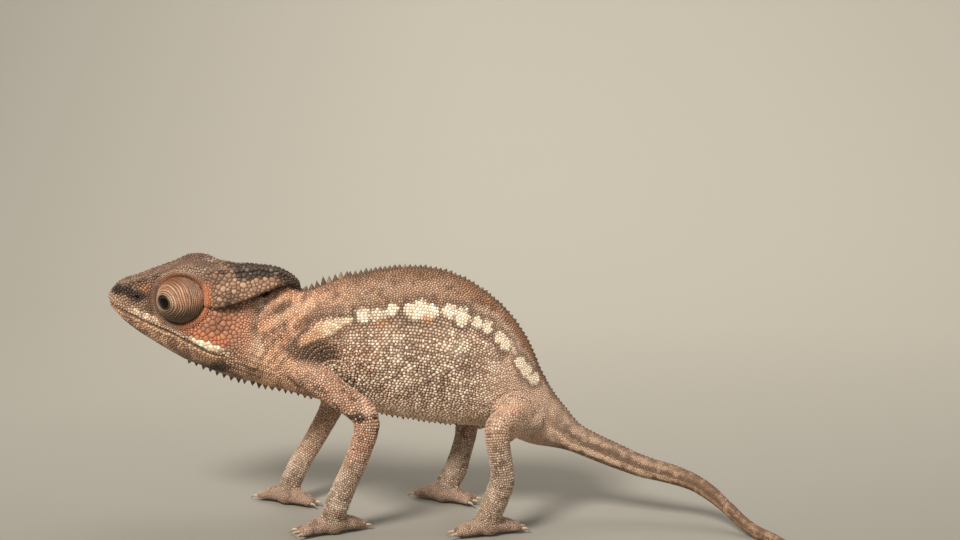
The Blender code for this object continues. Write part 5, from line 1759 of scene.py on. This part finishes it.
# Columns of the floor and how light it is painted in each: painted shade to the left, painted light to the
# right
FLOOR_LIGHT_COLUMNS = ((-4.0, 0.7), (-0.26, 0.73), (0.0, 1.0), (0.26, 1.06), (4.0, 1.06))


def build_floor_and_light():
    """A pale floor that curves up behind, painted darker towards the front and the left as painted shade, and
    soft light from the upper left.
    """
    scene = bpy.context.scene
    # The floor's colour carries painted light: darker towards the front and to the left
    spots = [(x, y, z, tone * np.interp(y, (FLOOR_FRONT, BEND_START), (FRONT_PAINTED_LIGHT, 1.0)))
             for y, z in FLOOR_PROFILE for x, tone in FLOOR_LIGHT_COLUMNS]
    spots = np.array(spots)
    columns = len(FLOOR_LIGHT_COLUMNS)
    faces = []
    for corner in range(len(spots) - columns):
        if (corner + 1) % columns:
            above = corner + columns
            faces += [(corner, corner + 1, above + 1), (corner, above + 1, above)]
    floor = coloured_object("floor", spots[:, :3], np.array(faces), spots[:, 3:] * linear((184, 178, 165)))
    floor.data.materials.append(coloured_material("pale_floor", 0.8, 0.5)[0])
    for name, place, size, power, colour in LAMPS:
        light = bpy.data.lights.new(name, "AREA")
        light.shape = "DISK"
        light.size = size
        light.energy = power
        light.color = colour
        lamp = bpy.data.objects.new(name, light)
        scene.collection.objects.link(lamp)
        way = LAMP_AIM - place
        lamp.location = place
        lamp.rotation_euler = (math.pi / 2 - math.atan2(-way[2], math.hypot(way[0], way[1])), 0,
                               math.atan2(way[0], -way[1]) + math.pi)
    world = bpy.data.worlds.new("soft")
    scene.world = world
    world.use_nodes = True
    background = world.node_tree.nodes["Background"]
    background.inputs["Color"].default_value = (0.86, 0.84, 0.8, 1)
    background.inputs["Strength"].default_value = 0.4
    scene.view_settings.view_transform = "Standard"


CAMERA_AIM = np.array([0.0, 0.0, 54.0])
CAMERA_DISTANCE = 320.0
CAMERA_RISE = math.radians(8)
PIXELS_A_MM = 4.7
FRAME_WIDTH = 960
SENSOR_WIDTH = 36


def build_camera():
    camera = bpy.data.cameras.new("camera")
    focal = PIXELS_A_MM * CAMERA_DISTANCE
    camera.sensor_width = SENSOR_WIDTH
    camera.lens = SENSOR_WIDTH * focal / FRAME_WIDTH
    camera.clip_start = 0.01
    camera.clip_end = 10
    holder = bpy.data.objects.new("camera", camera)
    bpy.context.scene.collection.objects.link(holder)
    back = np.array([0, -math.cos(CAMERA_RISE), math.sin(CAMERA_RISE)]) * CAMERA_DISTANCE
    holder.location = (CAMERA_AIM + back + SHIFT) * MM
    holder.rotation_euler = (math.pi / 2 - CAMERA_RISE, 0, 0)
    bpy.context.scene.camera = holder


def main():
    rng = np.random.default_rng(SEED)
    build_camera()
    build_floor_and_light()
    points, faces, normals, facts, pitch = build_skin()
    # The scales' draws follow one draw for each point of the skin
    rng.random(len(points))
    colours = markings(points, facts, np.full(len(points), 0.5))
    # The skin that shows between the scales is painted darker as shade, less so where the coat is light, the
    # scales are large or the skin is calm
    gap_shade = 0.22 + 0.2 * ramp(pitch, 0.8, 1.2) + 0.5 * colours.mean(1)
    gap_shade = gap_shade + np.clip(0.72 - gap_shade, 0, 1) * 0.8 * calmness(points, facts)
    skin = placed("skin", clipped(points), faces, colours * gap_shade[:, None])
    flesh = ["head", "lower_jaw", "neck", "torso", "tail_base", "tail_middle", "tail_end", "tail_tip"]
    flesh += [f"{name}_{part}" for name in LEGS for part in ("upper", "lower", "foot")]
    ready(skin, coat_material("skin", 0.7, 3000, 0.4), "skin", *flesh)
    build_coat(points, faces, normals, facts, pitch, rng)
    build_crests(BVHTree.FromPolygons(points.tolist(), faces.tolist()), rng)
    build_claws()
    build_turret(-1, LEFT_GAZE, "left", rng)
    build_turret(1, RIGHT_GAZE, "right", rng)


main()
